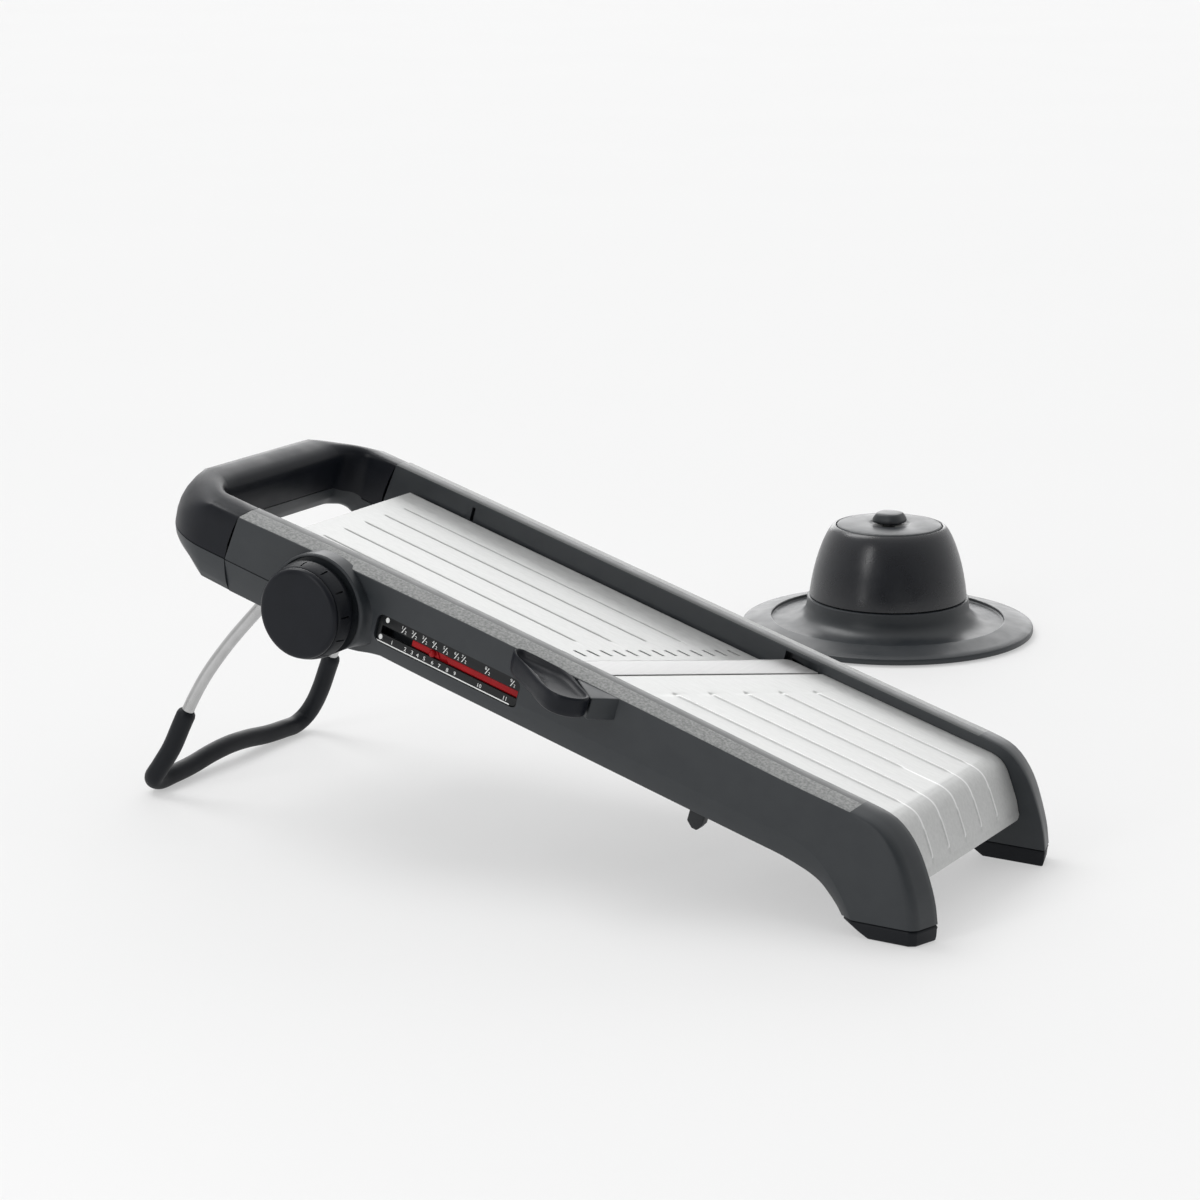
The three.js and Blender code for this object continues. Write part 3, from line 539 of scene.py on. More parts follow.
def boss_shape():
    """The dial's round seat. It flares into the rail, but above and below its middle
    the flare is drawn in to a radius."""
    points, faces, paints = facing_out(
        lathe([(0, 60), (29.0, 60), (28.2, 66.5), (26.8, 68.2), (25.8, 69.7), (25.1, 71.2),
               (24.7, 72.6), (24.3, 73.4), (23.8, 73.9), (23.2, 74.0), (22.8, 73.7), (22.6, 72.5),
               (0, 72.5)], 128),
        DIAL_U, DIAL_W)
    centre = Vector((DIAL_U, 0, DIAL_W))
    shaped = []
    for p in points:
        arm = Vector((p.x, 0, p.z)) - centre
        flare = 0.0
        for radius, height in ((BOSS_ABOVE, arm.z), (BOSS_BELOW, -arm.z)):
            blend = smooth((height - FLARE_START) / FLARE_BLEND)
            flare += max(0.0, arm.length - radius) * blend
        inward = arm.normalized() * flare if arm.length > 0 else arm
        shaped.append(Vector(p) - inward)
    return shaped, faces, paints


def rounded(u0, u1, w0, w1, radius, steps=6):
    """A rounded rectangle in (u, w)."""
    corners = [(u1 - radius, w1 - radius, 0), (u0 + radius, w1 - radius, 90),
               (u0 + radius, w0 + radius, 180), (u1 - radius, w0 + radius, 270)]
    outline = []
    for u, w, start in corners:
        for i in range(steps + 1):
            angle = math.radians(start + 90 * i / steps)
            outline.append((u + radius * math.cos(angle), w + radius * math.sin(angle)))
    return outline


SLANT = 0.552


def slanted_strip(front, rear, y0, y1, w0, w1):
    """A strip that lies along the blade, between two lines given by their u at y 0."""
    outline = [(front + SLANT * y0, y0), (rear + SLANT * y0, y0),
               (rear + SLANT * y1, y1), (front + SLANT * y1, y1)]
    return prism(outline, w0, w1)


RAIL_MATERIALS = [GREY, SHEEN_AND_GRAIN, TOP_LIGHT_STRIP]
window = prism(rounded(-266, -189.6, -27.6, -13.8, 3.4), -75, -60, axis="y")
cassette_way = slanted_strip(-157, -138.3, -110, -50, -9.5, -4.3)
seam_groove = block(-352, -305, -70, -67.9, -24.15, -23.5)
near_pockets = [rail_pocket(-342, -312), rail_pocket(-186, -135), rail_pocket(-131, -70)]
piece("near_rail_skin", rail_skin(CROWN_NEAR), SLICER, RAIL_MATERIALS, "root", ["near_rail"],
      cuts=[window, cassette_way, seam_groove, *near_pockets])

boss_trim = block(-330, -250, -66.0, -50, -60, 40)
piece("dial_boss", boss_shape(), SLICER, GREY, "root", cuts=[boss_trim], crease=30)

STOP = [(-166, -67), (-150.8, -79.2), (-149.8, -79.5), (-143.3, -69.5), (-141.5, -66)]
piece("cassette_stop", prism(STOP, -11, -1.0), SLICER, GREY, "root", bevel=0.7)

NOTCH = [(-127.5, -50), (-127.5, -58.6), (-123.5, -58.6), (-119, -57.4), (-110.5, -54.4),
         (-110.5, -50)]
far_notch = mirrored(prism(NOTCH, -8.2, -1.9))
far_slit = mirrored(block(-301, -299.2, -56.5, -50, -10, -3))
far_pockets = [mirrored(rail_pocket(u, u + 50)) for u in (-342, -288, -234, -180, -126)]
piece("far_rail_skin", mirrored(rail_skin(CROWN_FAR)), SLICER, RAIL_MATERIALS, "root",
      ["far_rail"], cuts=[far_notch, far_slit, *far_pockets])


# ---- Foot pads ----


# The pad's outline at each height, as (back, inset, height).
PAD_LEVELS = [(-24.6, 1.6, 0), (-25.4, 0.9, 0.4), (-28.2, 0.5, 2.2), (-32.4, 0.3, 5.2),
              (-33.4, 0.0, 6.1), (-33.4, 0.7, 7.0)]


def foot_pad():
    rows = []
    for back, inset, z in PAD_LEVELS:
        outer = -68.2 + inset
        rows.append([(back, outer + 4, z), (back + 4.6, outer, z), (-2 - inset * 0.4, outer, z),
                     (1.3 - inset, outer + 1.6, z), (4.8 - inset, -54.4, z), (back, -54.4, z)])
    return loft(rows)


for name, pad_shape, replaced in (("near_pad", foot_pad(), "foot_pad_near"),
                                  ("far_pad", mirrored(foot_pad()), "foot_pad_far")):
    piece(name, pad_shape, TABLE, RUBBER, "root", [replaced], bevel=0.3, bevel_limit=20)


# ---- Handle ----

# Sections of (share of the width from the inner face, w): the grip's run from the
# inner parting line over the top to the outer one, and the shell's back underneath.
ARM_TOP = [(0, -23.5), (0, -16), (0, -8), (0, -2.4), (0.02, -0.5), (0.08, 0), (0.22, 0), (0.41, 0),
           (0.55, -0.45), (0.75, -1.15), (0.92, -1.85), (0.985, -2.4), (1, -3.4), (1, -9), (1, -16),
           (1, -23.5)]
BAR_TOP = [(0.02, -20), (0, -14.5), (0, -8), (0.015, -4.2), (0.06, -2), (0.14, -0.7), (0.27, 0.15),
           (0.42, 0.5), (0.56, 0.45), (0.69, -0.3), (0.80, -1.9), (0.885, -4.4), (0.945, -7.6),
           (0.985, -11.5), (1, -16.5), (0.985, -23.5)]
ARM_LOW = [(1, -23.95), (1, -24.8), (0.93, -30), (0.85, -35), (0.745, -38.4), (0.68, -39),
           (0.35, -39), (0.06, -39), (0, -38.2), (0, -30), (0, -23.95)]
BAR_LOW = [(0.985, -23.95), (0.972, -24.9), (0.93, -27.3), (0.86, -29.4), (0.75, -31),
           (0.62, -31.9), (0.38, -31.6), (0.13, -29.9), (0.05, -28.4), (0.03, -25),
           (0.02, -20.45)]
CORNER_TOP = [(0.01, -22), (0, -15), (0, -8), (0.01, -3.2), (0.03, -1.2), (0.09, -0.3), (0.18, 0.3),
              (0.3, 0.1), (0.42, -0.8), (0.56, -2.4), (0.70, -4.6), (0.82, -7.2), (0.91, -10),
              (0.97, -13.4), (1, -17.5), (0.99, -23.5)]
HANDLE_END, OUTER_CORNER = -395.5, 32
HANDLE_INNER, INNER_CORNER = -372, 11
CORNER_STEP = 5
BLEND_LEAD, BLEND_SPAN = 12, 92
BAR_STATIONS = ((-34, -28), (-22, -19), (-10, -9), (0, 0))
SEAM_GAP = 0.25


def corner_place(end, side, radius, angle):
    """A place in (u, y) on the near corner's arc, at an angle from the arm."""
    return Vector((end + radius * (1 - math.sin(angle)),
                   -(side - radius * (1 - math.cos(angle)))))


def handle_rows(arm, bar, corner):
    """Sections from the near rail round to the far one, blended from the arm's to the
    bar's, and towards the corner's where the handle bends."""
    stations = []
    for degrees in range(0, 91, CORNER_STEP):
        angle = math.radians(degrees)
        stations.append((corner_place(HANDLE_INNER, RAIL_INNER, INNER_CORNER, angle),
                         corner_place(HANDLE_END, RAIL_OUTER, OUTER_CORNER, angle),
                         smooth((degrees + BLEND_LEAD) / BLEND_SPAN), math.sin(2 * angle)))
    for y_inner, y_outer in BAR_STATIONS:
        stations.append((Vector((HANDLE_INNER, y_inner)), Vector((HANDLE_END, y_outer)),
                         1.0, 0.0))
    rows = [[(seam(w) - SEAM_GAP, -(RAIL_INNER + t * (RAIL_OUTER - RAIL_INNER)), w)
             for t, w in arm]]
    for inner, outer, share, bend in stations:
        row = []
        for (ta, wa), (tb, wb), (tc, wc) in zip(arm, bar, corner):
            t = (ta + (tb - ta) * share) * (1 - bend) + tc * bend
            w = (wa + (wb - wa) * share) * (1 - bend) + wc * bend
            place = inner.lerp(outer, t)
            row.append((place.x, place.y, w))
        rows.append(row)
    return rows + [[(u, -y, w) for u, y, w in row] for row in reversed(rows[:-1])]


piece("grip_skin", loft(handle_rows(ARM_TOP, BAR_TOP, CORNER_TOP)), SLICER, BLACK, "root",
      ["handle_grip"], crease=50)
piece("shell_skin", loft(handle_rows(ARM_LOW, BAR_LOW, BAR_LOW)), SLICER, GREY, "root",
      ["handle_shell"], crease=50)


# ---- Slicing surfaces ----

RIB_LINES = [-32.4, -16.2, 0, 16.2, 32.4]
PLATE_THICKNESS = 1.1


def columns(half, offsets, extra):
    """The places across a plate: its edges, both sides of each rib line, and extra ones."""
    places = {-half, half, *extra}
    for middle in RIB_LINES:
        for offset in offsets:
            places.add(round(middle + offset, 3))
            places.add(round(middle - offset, 3))
    kept = []
    for y in sorted(places):
        if not kept or y - kept[-1] > 0.08:
            kept.append(y)
    return kept


def hump(x, half_width):
    """A round bump of height 1."""
    return 0.5 + 0.5 * math.cos(math.pi * x / half_width) if abs(x) < half_width else 0.0


# Each plate's rows are (u, slant): slant is the share of the blade's slant that they have.
LANDING_HALF, LANDING_TOP = 53.7, -4.7
LANDING_FLAT = [(-136.9, 1), (-136.3, 1), (-128, 1), (-120, 1), (-119, 1), (-118.4, 1),
                (-117.8, 1), (-117.2, 1), (-116.6, 1), (-116, 1), (-115.2, 1), (-114, 1),
                (-112, 1), (-94, 0.8), (-74, 0.5), (-57, 0.2), (-46, 0.05), (-41, 0), (-39, 0),
                (-38, 0), (-37, 0), (-34, 0), (-29, 0), (-26, 0), (-24, 0), (-22.5, 0)]
LANDING_BEND = [(-21.5, 47.98), (-18.4, 46.5), (-15.9, 44.5), (-14.1, 41.8), (-12.9, 39.0),
                (-11.7, 35.8), (-9.0, 28.2), (-8.1, 23.8), (-7.6, 20.3)]
BEND_STEPS = 44
RIB_HEIGHT, RIB_HALF = 0.5, 1.3
RIB_START, RIB_END, MIDDLE_RIB_END = -116.4, -23, -38
DIMPLE_HALF = 1.6
# Shares of the lip's drop where its ribs start and end, their dimples are, and the
# narrowing and the hem start.
LIP_RIB_START, LIP_RIB_END, LIP_DIMPLE, NARROWING_START, HEM_START = 0.36, 0.8, 0.83, 0.88, 0.9
NARROWING, HEM_LIFT = 0.055, 0.35
FIRST_RIB_ROW, LAST_RIB_ROW = 8, len(LANDING_FLAT) + round(LIP_RIB_END * BEND_STEPS)


def flat_row(u, slanted, ys):
    """A row of the landing plate's top, with a dimple at the start of each rib."""
    row = []
    for y in ys:
        place = u + slanted * SLANT * y
        lift = 0.0
        for line in RIB_LINES:
            start = RIB_START + SLANT * line
            end = MIDDLE_RIB_END if line == 0 else RIB_END
            ramp = smooth((place - start) / 1.4) * smooth((end - place) / 3)
            lift += RIB_HEIGHT * ramp * hump(y - line, RIB_HALF)
            lift -= 0.55 * hump(place - start + 0.9, 1.5) * hump(y - line, DIMPLE_HALF)
        row.append((place, y, LANDING_TOP + lift))
    return row


def bend_row(place, ahead, drop, ys):
    """A row of the bent lip at a share of its drop. It ends in a narrower, raised hem."""
    normal = Vector((-ahead.y, ahead.x, 0)).normalized()
    corner = max(0.0, drop - NARROWING_START) / (1 - NARROWING_START)
    narrow = 1 - NARROWING * (1 - math.sqrt(max(0.0, 1 - corner * corner)))
    row = []
    for y in ys:
        lift = HEM_LIFT * smooth((drop - HEM_START) / 0.03)
        for line in RIB_LINES:
            ramp = smooth((drop - LIP_RIB_START) / 0.08) * smooth((LIP_RIB_END - drop) / 0.04)
            lift += RIB_HEIGHT * ramp * hump(y - line, RIB_HALF)
            lift -= 0.5 * hump(drop - LIP_DIMPLE, 0.045) * hump(y - line, DIMPLE_HALF)
        side = y * narrow if abs(y) > 34 else y
        row.append((place.x + normal.x * lift, side, place.y + normal.y * lift))
    return row


def landing_shape():
    """The landing plate's top and lip, with a painted highlight on their pressed ribs."""
    ys = columns(LANDING_HALF, (0, 0.3, 0.6, 0.9, 1.2, 1.6),
                 (-52, -50, -48, -43, -24, -8, 8, 24, 43, 48, 50, 52))
    rows = [flat_row(u, slanted, ys) for u, slanted in LANDING_FLAT]
    bend = curve_through([sloped(x, z) + (0,) for x, z in LANDING_BEND], BEND_STEPS)
    for i, place in enumerate(bend):
        ahead = bend[min(i + 1, BEND_STEPS)] - bend[max(i - 1, 0)]
        rows.append(bend_row(place, ahead, i / BEND_STEPS, ys))

    def paint(i, j):
        middle = (ys[j] + ys[j + 1]) / 2
        on_rib = any(abs(middle - line) < 0.75 for line in RIB_LINES)
        return 1 if on_rib and FIRST_RIB_ROW <= i < LAST_RIB_ROW else 0

    return loft(rows, loop=False, caps=False, paint=paint)


SLOT_COUNT, SLOT_PITCH, SLOT_LAST_Y = 16, 5.94, 46
SLOT_FRONT, SLOT_REAR, SLOT_HALF = -176.9, -170.5, 0.7
RUNWAY_HALF, RUNWAY_TOP = 51.7, -8.8
RUNWAY_ROWS = [(-334.6, 0), (-333, 0), (-326, 0), (-324.4, 0), (-323.4, 0), (-322, 0),
               (-300, 0), (-270, 0.2), (-240, 0.5), (-215, 0.8), (-195, 1), (-188.5, 1),
               (-187, 1), (-185.6, 1), (-180, 1), (SLOT_FRONT, 1), (SLOT_REAR, 1), (-166, 1),
               (-160, 1), (-158.9, 1)]
SLOT_ROW = RUNWAY_ROWS.index((SLOT_FRONT, 1))
GROOVE_ROWS = range(3, SLOT_ROW - 3)
GROOVE_DEPTH, GROOVE_START, GROOVE_END = 0.4, -324.5, -186


def runway_shape():
    """The runway's top, with painted shade in its grooves and a row of open slots."""
    slots = [SLOT_LAST_Y - i * SLOT_PITCH for i in range(SLOT_COUNT)]
    edges = [y + side * SLOT_HALF for y in slots for side in (-1, 1)]
    ys = columns(RUNWAY_HALF, (0, 0.3, 0.6, 0.9, 1.2), [-50, 50] + edges)
    rows = []
    for u, slanted in RUNWAY_ROWS:
        row = []
        for y in ys:
            place = u + slanted * SLANT * y
            lift = 0.0
            for line in RIB_LINES:
                end = GROOVE_END + SLANT * line
                ramp = smooth((place - GROOVE_START) / 2) * smooth((end - place) / 2)
                lift -= GROOVE_DEPTH * ramp * hump(y - line, 1.0)
            row.append((place, y, RUNWAY_TOP + lift))
        rows.append(row)
    points, faces, _ = loft(rows, loop=False, caps=False)
    kept, paints = [], []
    for index, face in enumerate(faces):
        i, j = divmod(index, len(ys) - 1)
        middle = (ys[j] + ys[j + 1]) / 2
        if i == SLOT_ROW and any(abs(middle - y) < SLOT_HALF for y in slots):
            continue
        in_groove = i in GROOVE_ROWS and any(abs(middle - line) < 0.65 for line in RIB_LINES)
        kept.append(face)
        paints.append(1 if in_groove else 0)
    return points, kept, paints


def blade_shape():
    section = [(-156.0, -5.75), (-153.4, -4.95), (-152.9, -4.9), (-139.0, -4.9), (-138.8, -5.1),
               (-138.8, -5.8), (-155.9, -5.8)]
    rows = [[(v + SLANT * y, y, w) for v, w in section] for y in (-53.4, -27, 0, 27, 53.4)]
    return loft(rows)


def facing_up(shape):
    """Turns an open sheet's faces over if they look down."""
    points, faces, paints = shape
    a, b, c = (Vector(points[i]) for i in faces[0][:3])
    if (b - a).cross(c - a).z < 0:
        faces = [tuple(reversed(face)) for face in faces]
    return points, faces, paints


def thickened(shape):
    """A plate from the shape of its top: it gets its thickness downwards."""
    points, faces, paints = facing_up(shape)
    normals = [Vector((0, 0, 0)) for _ in points]
    for face in faces:
        a, b, c = (points[i] for i in face[:3])
        across = (b - a).cross(c - b)
        for i in face:
            normals[i] += across
    count = len(points)
    lower = [p - (n.normalized() if n.length > 0 else Vector((0, 0, 1))) * PLATE_THICKNESS
             for p, n in zip(points, normals)]
    edges = {(a, b): True for face in faces for a, b in zip(face, face[1:] + face[:1])}
    sides = [(b, a, a + count, b + count) for a, b in edges if (b, a) not in edges]
    under = [tuple(i + count for i in reversed(face)) for face in faces]
    return points + lower, faces + under + sides, paints + [0] * (len(faces) + len(sides))


piece("landing_sheet", thickened(landing_shape()), SLICER, [STEEL, RIB_HIGHLIGHT], "root",
      ["landing_plate"], crease=50)
piece("runway_sheet", thickened(runway_shape()), RUNWAY, [STEEL, GROOVE], "runway",
      ["runway_plate"], crease=50)
piece("blade_sheet", blade_shape(), SLICER, BLADE_STEEL, "blade_cassette", ["blade"], crease=12)


# ---- Blade grip ----

GRIP_RIM = [(-195.2, -72.0), (-194.4, -69.9), (-189, -69.3), (-178, -69.2), (-171, -69.4),
            (-165, -71.2), (-158, -75.4), (-152, -79.4), (-149.9, -81.6), (-149.8, -84.4),
            (-151.4, -87.8), (-154.4, -90.6), (-158.6, -92.4), (-163.6, -92.2), (-169.4, -89.6),
            (-175.4, -85.8), (-182, -81.6), (-188.5, -77.6), (-193, -74.8)]


def blade_grip():
    """Rings inside the rim, from under the grip round its edge to the hollow on top.
    tilt lifts the side that is nearer the rail."""
    fine = curve_through([p + (0,) for p in GRIP_RIM + GRIP_RIM[:1]], 120)
    rim = [p.xy for p in resampled(fine, 60)][:-1]
    middle = sum(rim, Vector((0, 0))) / len(rim)

    def ring(inset, w, tilt=0.0):
        row = []
        for p in rim:
            arm = p - middle
            place = middle + arm * max(1 - inset / arm.length, 0.0)
            row.append((place.x, place.y, w + tilt * max(0.0, (place.y + 76) / 7)))
        return row

    rows = [ring(9, -9.2), ring(2.6, -9.2), ring(1.2, -9.0), ring(0.5, -8.3), ring(0.1, -6),
            ring(0, -3), ring(0.1, -0.9, 0.4), ring(0.4, -0.2, 0.9), ring(0.9, 0.1, 1.0),
            ring(1.5, 0.0, 1.0), ring(2.0, -0.5, 0.6), ring(2.7, -1.3, 0.1), ring(4.5, -2.0),
            ring(7, -2.4), ring(11, -2.6)]
    return loft(rows)


piece("cassette_grip", blade_grip(), SLICER, BLACK, "blade_cassette", ["blade_grip"], crease=50)


# ---- Dial ----

NOTCH_COUNT = 12
dial_face = facing_out(
    lathe([(0, 88), (17.4, 88), (18.7, 87.9), (19.5, 87.6), (20.0, 87.1), (20.3, 86.4),
           (20.4, 85.9), (20.2, 85.5), (19.4, 85.2), (19.2, 75), (0, 75)], 128),
    DIAL_U, DIAL_W)
dial_ring = facing_out(
    lathe([(19.5, 85.1), (20.3, 85.3), (20.7, 85.0), (20.95, 84.4), (21.5, 82.3), (21.9, 79.4),
           (22, 78.7), (21.9, 78.2), (21.4, 77.9), (20.4, 77.8), (20.4, 74.6), (19.5, 74.6),
           (19.5, 85.1)], 192),
    DIAL_U, DIAL_W)


def dial_notches():
    """Short cuts along the ring's face; the first one is upright over the table."""
    notch = prism(rounded(-0.4, 0.4, 20.7, 23.5, 0.1, 1), -84.2, -79.6, axis="y")
    middle = Matrix.Translation((DIAL_U, 0, DIAL_W))
    turns = [math.radians(360 / NOTCH_COUNT * i) - SLOPE for i in range(NOTCH_COUNT)]
    return merged(*(moved(notch, middle @ Matrix.Rotation(turn, 4, "Y")) for turn in turns))


piece("dial_face", dial_face, SLICER, BLACK, "dial", ["dial_core"], crease=40)
piece("dial_ring", dial_ring, SLICER, RUBBER, "dial", ["dial_grip"], cuts=[dial_notches()],
      crease=40)


# ---- Thickness scale ----

PLATE_FACE = -66.9
PRINT_LAYER = (PLATE_FACE - 0.07, PLATE_FACE + 0.02)
LETTER_DEPTH = 0.03
plate = prism(rounded(-265.6, -190.0, -27.2, -14.2, 3.1), PLATE_FACE, -65.7, axis="y")
plate_slit = prism(rounded(-263.6, -190.9, -23.1, -19.3, 0.5), -70, -60, axis="y")
piece("scale_face", plate, SLICER, SCALE, "root", ["scale_plate"], cuts=[plate_slit], bevel=0.15)

UPPER_MARKS = [-252.5, -246.9, -241.3, -235.9, -230.1, -224.1, -220.3, -207.7, -194.4]
LOWER_MARKS = [-256.9, -249.7, -246, -243, -239.4, -235, -231.4, -227, -223, -210, -196.3]


def printed_text(text, u, w, size):
    """Numerals standing on the scale's face, in the slicer's frame."""
    letters = bpy.data.curves.new("letters", "FONT")
    letters.body = text
    letters.size = size
    letters.align_x = "CENTER"
    letters.align_y = "CENTER"
    letters.extrude = LETTER_DEPTH
    letters.resolution_u = 2
    temporary = bpy.data.objects.new("letters", letters)
    bpy.context.scene.collection.objects.link(temporary)
    graph = bpy.context.evaluated_depsgraph_get()
    mesh = bpy.data.meshes.new_from_object(temporary.evaluated_get(graph))
    level = PLATE_FACE - 0.04
    points = [Vector((u + v.co.x, level - v.co.z, w + v.co.y)) for v in mesh.vertices]
    faces = [tuple(face.vertices) for face in mesh.polygons]
    bpy.data.objects.remove(temporary)
    bpy.data.curves.remove(letters)
    bpy.data.meshes.remove(mesh)
    return points, faces, [0] * len(faces)


def printed_fraction(top, u):
    """A numeral over a 2, with a slash between them."""
    slash = [(u - 1.0, -18.6), (u - 0.6, -18.6), (u + 0.8, -15.6), (u + 0.4, -15.6)]
    return [printed_text(top, u - 0.9, -16.2, 2.2), printed_text("2", u + 1.1, -17.9, 2.0),
            prism(slash, *PRINT_LAYER, axis="y")]


def printed_dot(u, w):
    """A plain round mark."""
    turns = [math.radians(a) for a in range(0, 360, 20)]
    outline = [(u + 0.95 * math.cos(turn), w + 1.25 * math.sin(turn)) for turn in turns]
    return prism(outline, *PRINT_LAYER, axis="y")


prints = [block(-265.4, -193.7, *PRINT_LAYER, -27.15, -26.6)]
for i, u in enumerate(UPPER_MARKS):
    prints += printed_fraction(str(i + 1), u)
for i, u in enumerate(LOWER_MARKS):
    prints.append(printed_text(str(i + 1), u, -25.2, 2.6))
prints += [printed_dot(-261.5, -16.2), printed_dot(-263.2, -24.8)]
piece("scale_print", merged(*prints), SLICER, PRINT, "root")


def marker_shape():
    """The bar behind the slit, on the thinner and longer strip that carries it."""
    profile = [(-247.5, -19.7), (-247.5, -22.7), (-190.5, -22.7), (-190.5, -19.7)]
    bar = prism(profile, -66.2, -64, axis="y")
    strip = block(-246, -162, -65.2, -63.8, -24.0, -18.4)
    return merged(bar, strip)


marker_gap = prism([(-234.6, -19.2), (-230.2, -19.2), (-227.4, -23.2), (-231.8, -23.2)],
                   -70, -65.4, axis="y")
piece("marker_bar", marker_shape(), SLICER, RED, "marker", ["scale_marker"],
      cuts=[marker_gap], bevel=0.35)
pointer = facing_out(
    lathe([(0, 68.4), (0.7, 68.3), (1.3, 67.9), (1.6, 67.2), (1.7, 66.0), (0, 66.0)], 24),
    -236, -21.2)
piece("marker_pointer", pointer, SLICER, RED, "marker")


# ---- Leg ----

LEG_PIVOT = (-318, 110.6)
LEG_GROUND, LEG_REST = -396, 4.7
ROD_RADIUS, SLEEVE_RADIUS = 2.9, 4.5
# Down one side of the leg, in (x, half width, z), and across its foot, in (y, rise).
LEG_SIDE = [(-318, 49.8, 110.6), (-330, 50.1, 102), (-342, 50.5, 90), (-354, 52.2, 76.4),
            (-365, 54.6, 61.4), (-372, 56.3, 49.3), (-378.3, 57.9, 36), (-384, 59.1, 23.6),
            (-389.6, 60.4, 14.4), (-394.4, 60, 7.8)]
LEG_ARCH = [(-54, 0), (-44, 0.1), (-30, 0.8), (-14, 2.7), (0, 3.4), (14, 2.7), (30, 0.8),
            (44, 0.1), (54, 0)]
ROD_SHARE, SLEEVE_SHARE = 0.30, 0.236
SLEEVE_STEPS = 150

leg_points = (
    [(x, -half, z) for x, half, z in LEG_SIDE]
    + [(LEG_GROUND, y, LEG_REST + rise) for y, rise in LEG_ARCH]
    + [(x, half, z) for x, half, z in reversed(LEG_SIDE)]
)
leg_fine = curve_through(leg_points, 400)
rods = [tube(resampled(leg_fine, 40, *span), lambda i: ROD_RADIUS)
        for span in ((0.0, ROD_SHARE), (1 - ROD_SHARE, 1.0))]
trunnion = facing_out(
    lathe([(0, 0), (2.6, 0), (ROD_RADIUS, 0.3), (ROD_RADIUS, 17.4), (0, 17.4)], 32),
    *LEG_PIVOT, y=-47)
piece("leg_wire", merged(*rods, trunnion, mirrored(trunnion)), TABLE, ROD_STEEL, "leg",
      ["leg_rod"], crease=50)


def sleeve_radius(i):
    """The sleeve's ends are drawn in."""
    from_end = min(i, SLEEVE_STEPS - i)
    return (3.1, 4.2, SLEEVE_RADIUS)[min(from_end, 2)]


sleeve_path = resampled(leg_fine, SLEEVE_STEPS, SLEEVE_SHARE, 1 - SLEEVE_SHARE)
piece("leg_cover", tube(sleeve_path, sleeve_radius, 28), TABLE, RUBBER, "leg",
      ["leg_sleeve"], crease=50)


# ---- Bowl hooks ----

HOOK = [(-101, -34), (-101, -41), (-98, -43.4), (-95.5, -43.4), (-93.6, -40), (-93.6, -34)]
near_hook = prism(HOOK, -62.4, -57.6, axis="y")
piece("hook_near", near_hook, SLICER, DARK, "root", ["bowl_hook_near"], bevel=0.5)
piece("hook_far", mirrored(near_hook), SLICER, DARK, "root", ["bowl_hook_far"], bevel=0.5)


# ---- Food guard ----

# Profiles of (radius, height) above the table.
guard_body = lathe([
    (46.4, 0.2), (46.4, 6.4), (52, 5.5), (62, 4.4), (76, 1.6), (79.6, 0.8), (80.3, 1.3),
    (80.5, 1.9), (80.5, 3.5), (80.3, 4.0), (79.7, 4.4), (76, 5.2), (70, 6.6), (66, 7.6),
    (65.0, 7.8), (64.5, 7.6), (64.2, 6.4), (63.4, 5.9), (58, 6.0), (54, 6.5), (51, 7.4),
    (48.4, 8.8), (46.4, 10.6), (45.3, 12.8), (44.9, 15.0), (44.7, 19.0), (44.4, 19.4),
    (43.6, 19.6), (40.2, 19.6), (40.2, 18.2), (38.2, 17.2), (38.4, 16.2), (41.9, 7.6),
    (43, 0.2), (43.4, 0), (46, 0), (46.4, 0.2)], 160)
guard_grip = lathe([
    (40.4, 19.8), (42.9, 19.8), (43.4, 20.3), (43.4, 21.6), (42.6, 27.1), (41.6, 32.6),
    (40.2, 38.6), (38.6, 44), (36.6, 49.6), (34.6, 54), (33.2, 56.5), (32.0, 58.1),
    (30.6, 59.3), (29.8, 59.6), (29.5, 59.4), (29.5, 57.5), (28.4, 57.5), (34.9, 44.8),
    (38.8, 30.8), (40.4, 19.8)], 160)
guard_dome = lathe([
    (40.0, 19.2), (38.4, 30.6), (34.5, 44.6), (28, 57.1), (5.3, 57.1), (5.3, 54.8), (25.6, 54.6),
    (31.8, 43.6), (35.6, 30.6), (38.0, 19.2), (40.0, 19.2)], 96)
guard_cap = lathe([
    (5.2, 57.4), (29.0, 57.4), (29.0, 59.3), (28.6, 59.8), (27.6, 60.2), (20, 60.6), (12, 60.8),
    (11.2, 60.7), (10.6, 60.2), (5.2, 60.2), (5.2, 57.4)], 128)
piece("guard_brim", guard_body, GUARD, GREY, "guard", ["guard_body"], crease=32)
piece("guard_dome", guard_dome, GUARD, GREY, "guard", crease=40)
piece("guard_cover", guard_grip, GUARD, GLEAMING, "guard", ["guard_grip"], crease=40)
piece("guard_lid", guard_cap, GUARD, GREY, "guard", ["guard_cap"], crease=40)


def button_shape():
    """A squarish button with a waist: rings of a rounded square."""
    def ring(radius, z, square):
        row = []
        for j in range(64):
            angle = 2 * math.pi * j / 64
            c, s = math.cos(angle), math.sin(angle)
            power = 2 + 2 * square
            reach = (abs(c) ** power + abs(s) ** power) ** (-1 / power)
            row.append((radius * reach * c, radius * reach * s, z))
        return row
    rows = [ring(4, 61.1, 0), ring(7.6, 61.1, 0.2), ring(8.6, 61.6, 0.3), ring(8.9, 62.4, 0.35),
            ring(8.5, 63.8, 0.4), ring(7.4, 65.6, 0.4), ring(6.9, 66.3, 0.4), ring(6.2, 66.6, 0.4),
            ring(3, 66.7, 0.3), ring(0.6, 66.7, 0)]
    return loft(rows)


piece("guard_button", button_shape(), GUARD, GREY, "plunger", ["plunger_button"], crease=40)


# ---- CAD pieces that keep their own shape ----

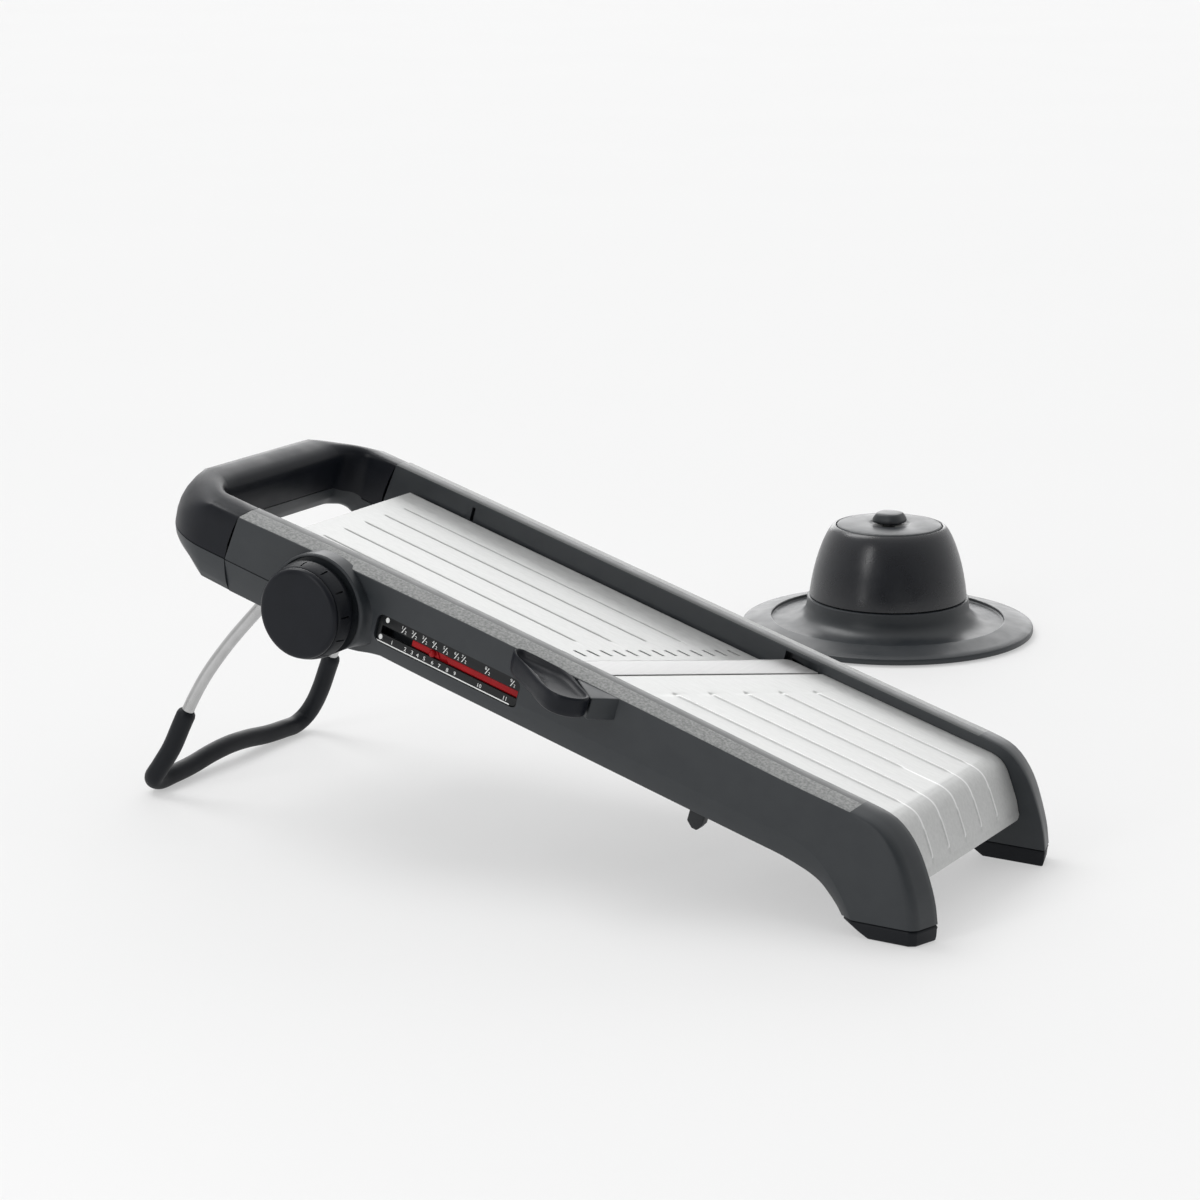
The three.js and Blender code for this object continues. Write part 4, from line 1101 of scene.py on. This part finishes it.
KEPT = {
    GREY: ["handle_bridge"],
    DARK: ["landing_tray", "blade_carrier", "lift_cam_near", "lift_cam_far", "detent_wheel",
           "runway_frame", "julienne_bar", "pusher_plate"],
    STEEL: ["cam_shaft", "plunger_rod", "tray_screw_1", "tray_screw_2", "tray_screw_3",
            "tray_screw_4", "hinge_pin_near", "hinge_pin_far"],
    BLADE_STEEL: ["blade_rivet_1", "blade_rivet_2", "blade_rivet_3", "blade_rivet_4",
                  "julienne_comb"],
    SPRING: ["detent_spring", "plunger_spring"],
}
for material, names in KEPT.items():
    for name in names:
        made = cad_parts[name]
        made.data.materials.clear()
        made.data.materials.append(material)


# ---- Stage, light and camera ----

FLOOR_HALF = 12
FLOOR_GLOW = 0.43
# The studio is bright above and behind, and darker on the camera's side. Each side is
# (how far a direction points towards the bright one, brightness there).
TOWARDS_BRIGHT = (-0.42, 0.68, 0.60)
DARK_SIDE, BRIGHT_SIDE = (-0.6, 0.22), (0.7, 0.95)
SUNS = [("key", (-0.55, 0.10, 0.83), 1.0, 30), ("back", (-0.50, 0.83, 0.32), 1.0, 45)]
# A tall narrow panel on the near side draws an upright gleam on the guard.
PANEL_PLACE, PANEL_AIM = origin + Vector((-0.61, -1.47, 0.75)), Vector((-0.05, 0.1, 0.1))
PANEL_WIDTH, PANEL_HEIGHT, PANEL_POWER = 0.12, 1.3, 6.0
CAMERA_PLACE = origin + Vector((0.5325, -1.2049, 0.4606))
CAMERA_PITCH, CAMERA_YAW = math.radians(-14.15), math.radians(30.88)
CAMERA_LENS = 98.13


def placed(name, data, location=(0, 0, 0), rotation=(0, 0, 0)):
    """Links a light or camera to the scene."""
    made = bpy.data.objects.new(name, data)
    made.location = location
    made.rotation_euler = rotation
    bpy.context.scene.collection.objects.link(made)
    return made


def looking_from(direction):
    """The rotation of a light that shines from a direction."""
    return Vector(direction).to_track_quat("Z", "Y").to_euler()


FLOOR = finish("pale floor", (0.40, 0.40, 0.40), (0.41, 0.41, 0.41), (0.85, 0.9), specular=0.1,
               tone=(3, 1.0, None))
# The table glows a little, as a lit sweep does, so that the shadows on it stay faint.
glow = FLOOR.node_tree.nodes["Principled BSDF"]
glow.inputs["Emission Color"].default_value = (1, 1, 1, 1)
glow.inputs["Emission Strength"].default_value = FLOOR_GLOW
floor_shape = loft([[(-FLOOR_HALF, y, 0), (FLOOR_HALF, y, 0)] for y in (-FLOOR_HALF, FLOOR_HALF)],
                   loop=False, caps=False)
floor = mesh_object("floor", floor_shape, Matrix.Identity(4))
floor.data.materials.append(FLOOR)
floor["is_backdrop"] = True

world = bpy.data.worlds.new("studio")
bpy.context.scene.world = world
world.use_nodes = True
sky = world.node_tree
direction = node(sky, "ShaderNodeTexCoord")
brightward = node(sky, "ShaderNodeVectorMath", operation="DOT_PRODUCT")
brightward.inputs[1].default_value = TOWARDS_BRIGHT
sky.links.new(direction.outputs["Generated"], brightward.inputs[0])
level = ranged(sky, brightward.outputs["Value"], *zip(DARK_SIDE, BRIGHT_SIDE))
sky.nodes["Background"].inputs["Color"].default_value = (1, 1, 1, 1)
sky.links.new(level, sky.nodes["Background"].inputs["Strength"])

for name, source, strength, angle in SUNS:
    light = bpy.data.lights.new(name, "SUN")
    light.energy = strength
    light.angle = math.radians(angle)
    placed(name, light, rotation=looking_from(source))

panel = bpy.data.lights.new("panel", "AREA")
panel.shape = "RECTANGLE"
panel.size = PANEL_WIDTH
panel.size_y = PANEL_HEIGHT
panel.energy = PANEL_POWER
placed("panel", panel, PANEL_PLACE, looking_from(PANEL_PLACE - PANEL_AIM))

camera = placed("camera", bpy.data.cameras.new("camera"), CAMERA_PLACE,
                (math.pi / 2 + CAMERA_PITCH, 0, CAMERA_YAW))
camera.data.lens = CAMERA_LENS
camera.data.sensor_width = 36
bpy.context.scene.camera = camera
bpy.context.scene.view_settings.view_transform = "Standard"

boxes = {"cad": cad_box, "visual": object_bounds()}
{key: [list(corner) for corner in value] for key, value in boxes.items()}
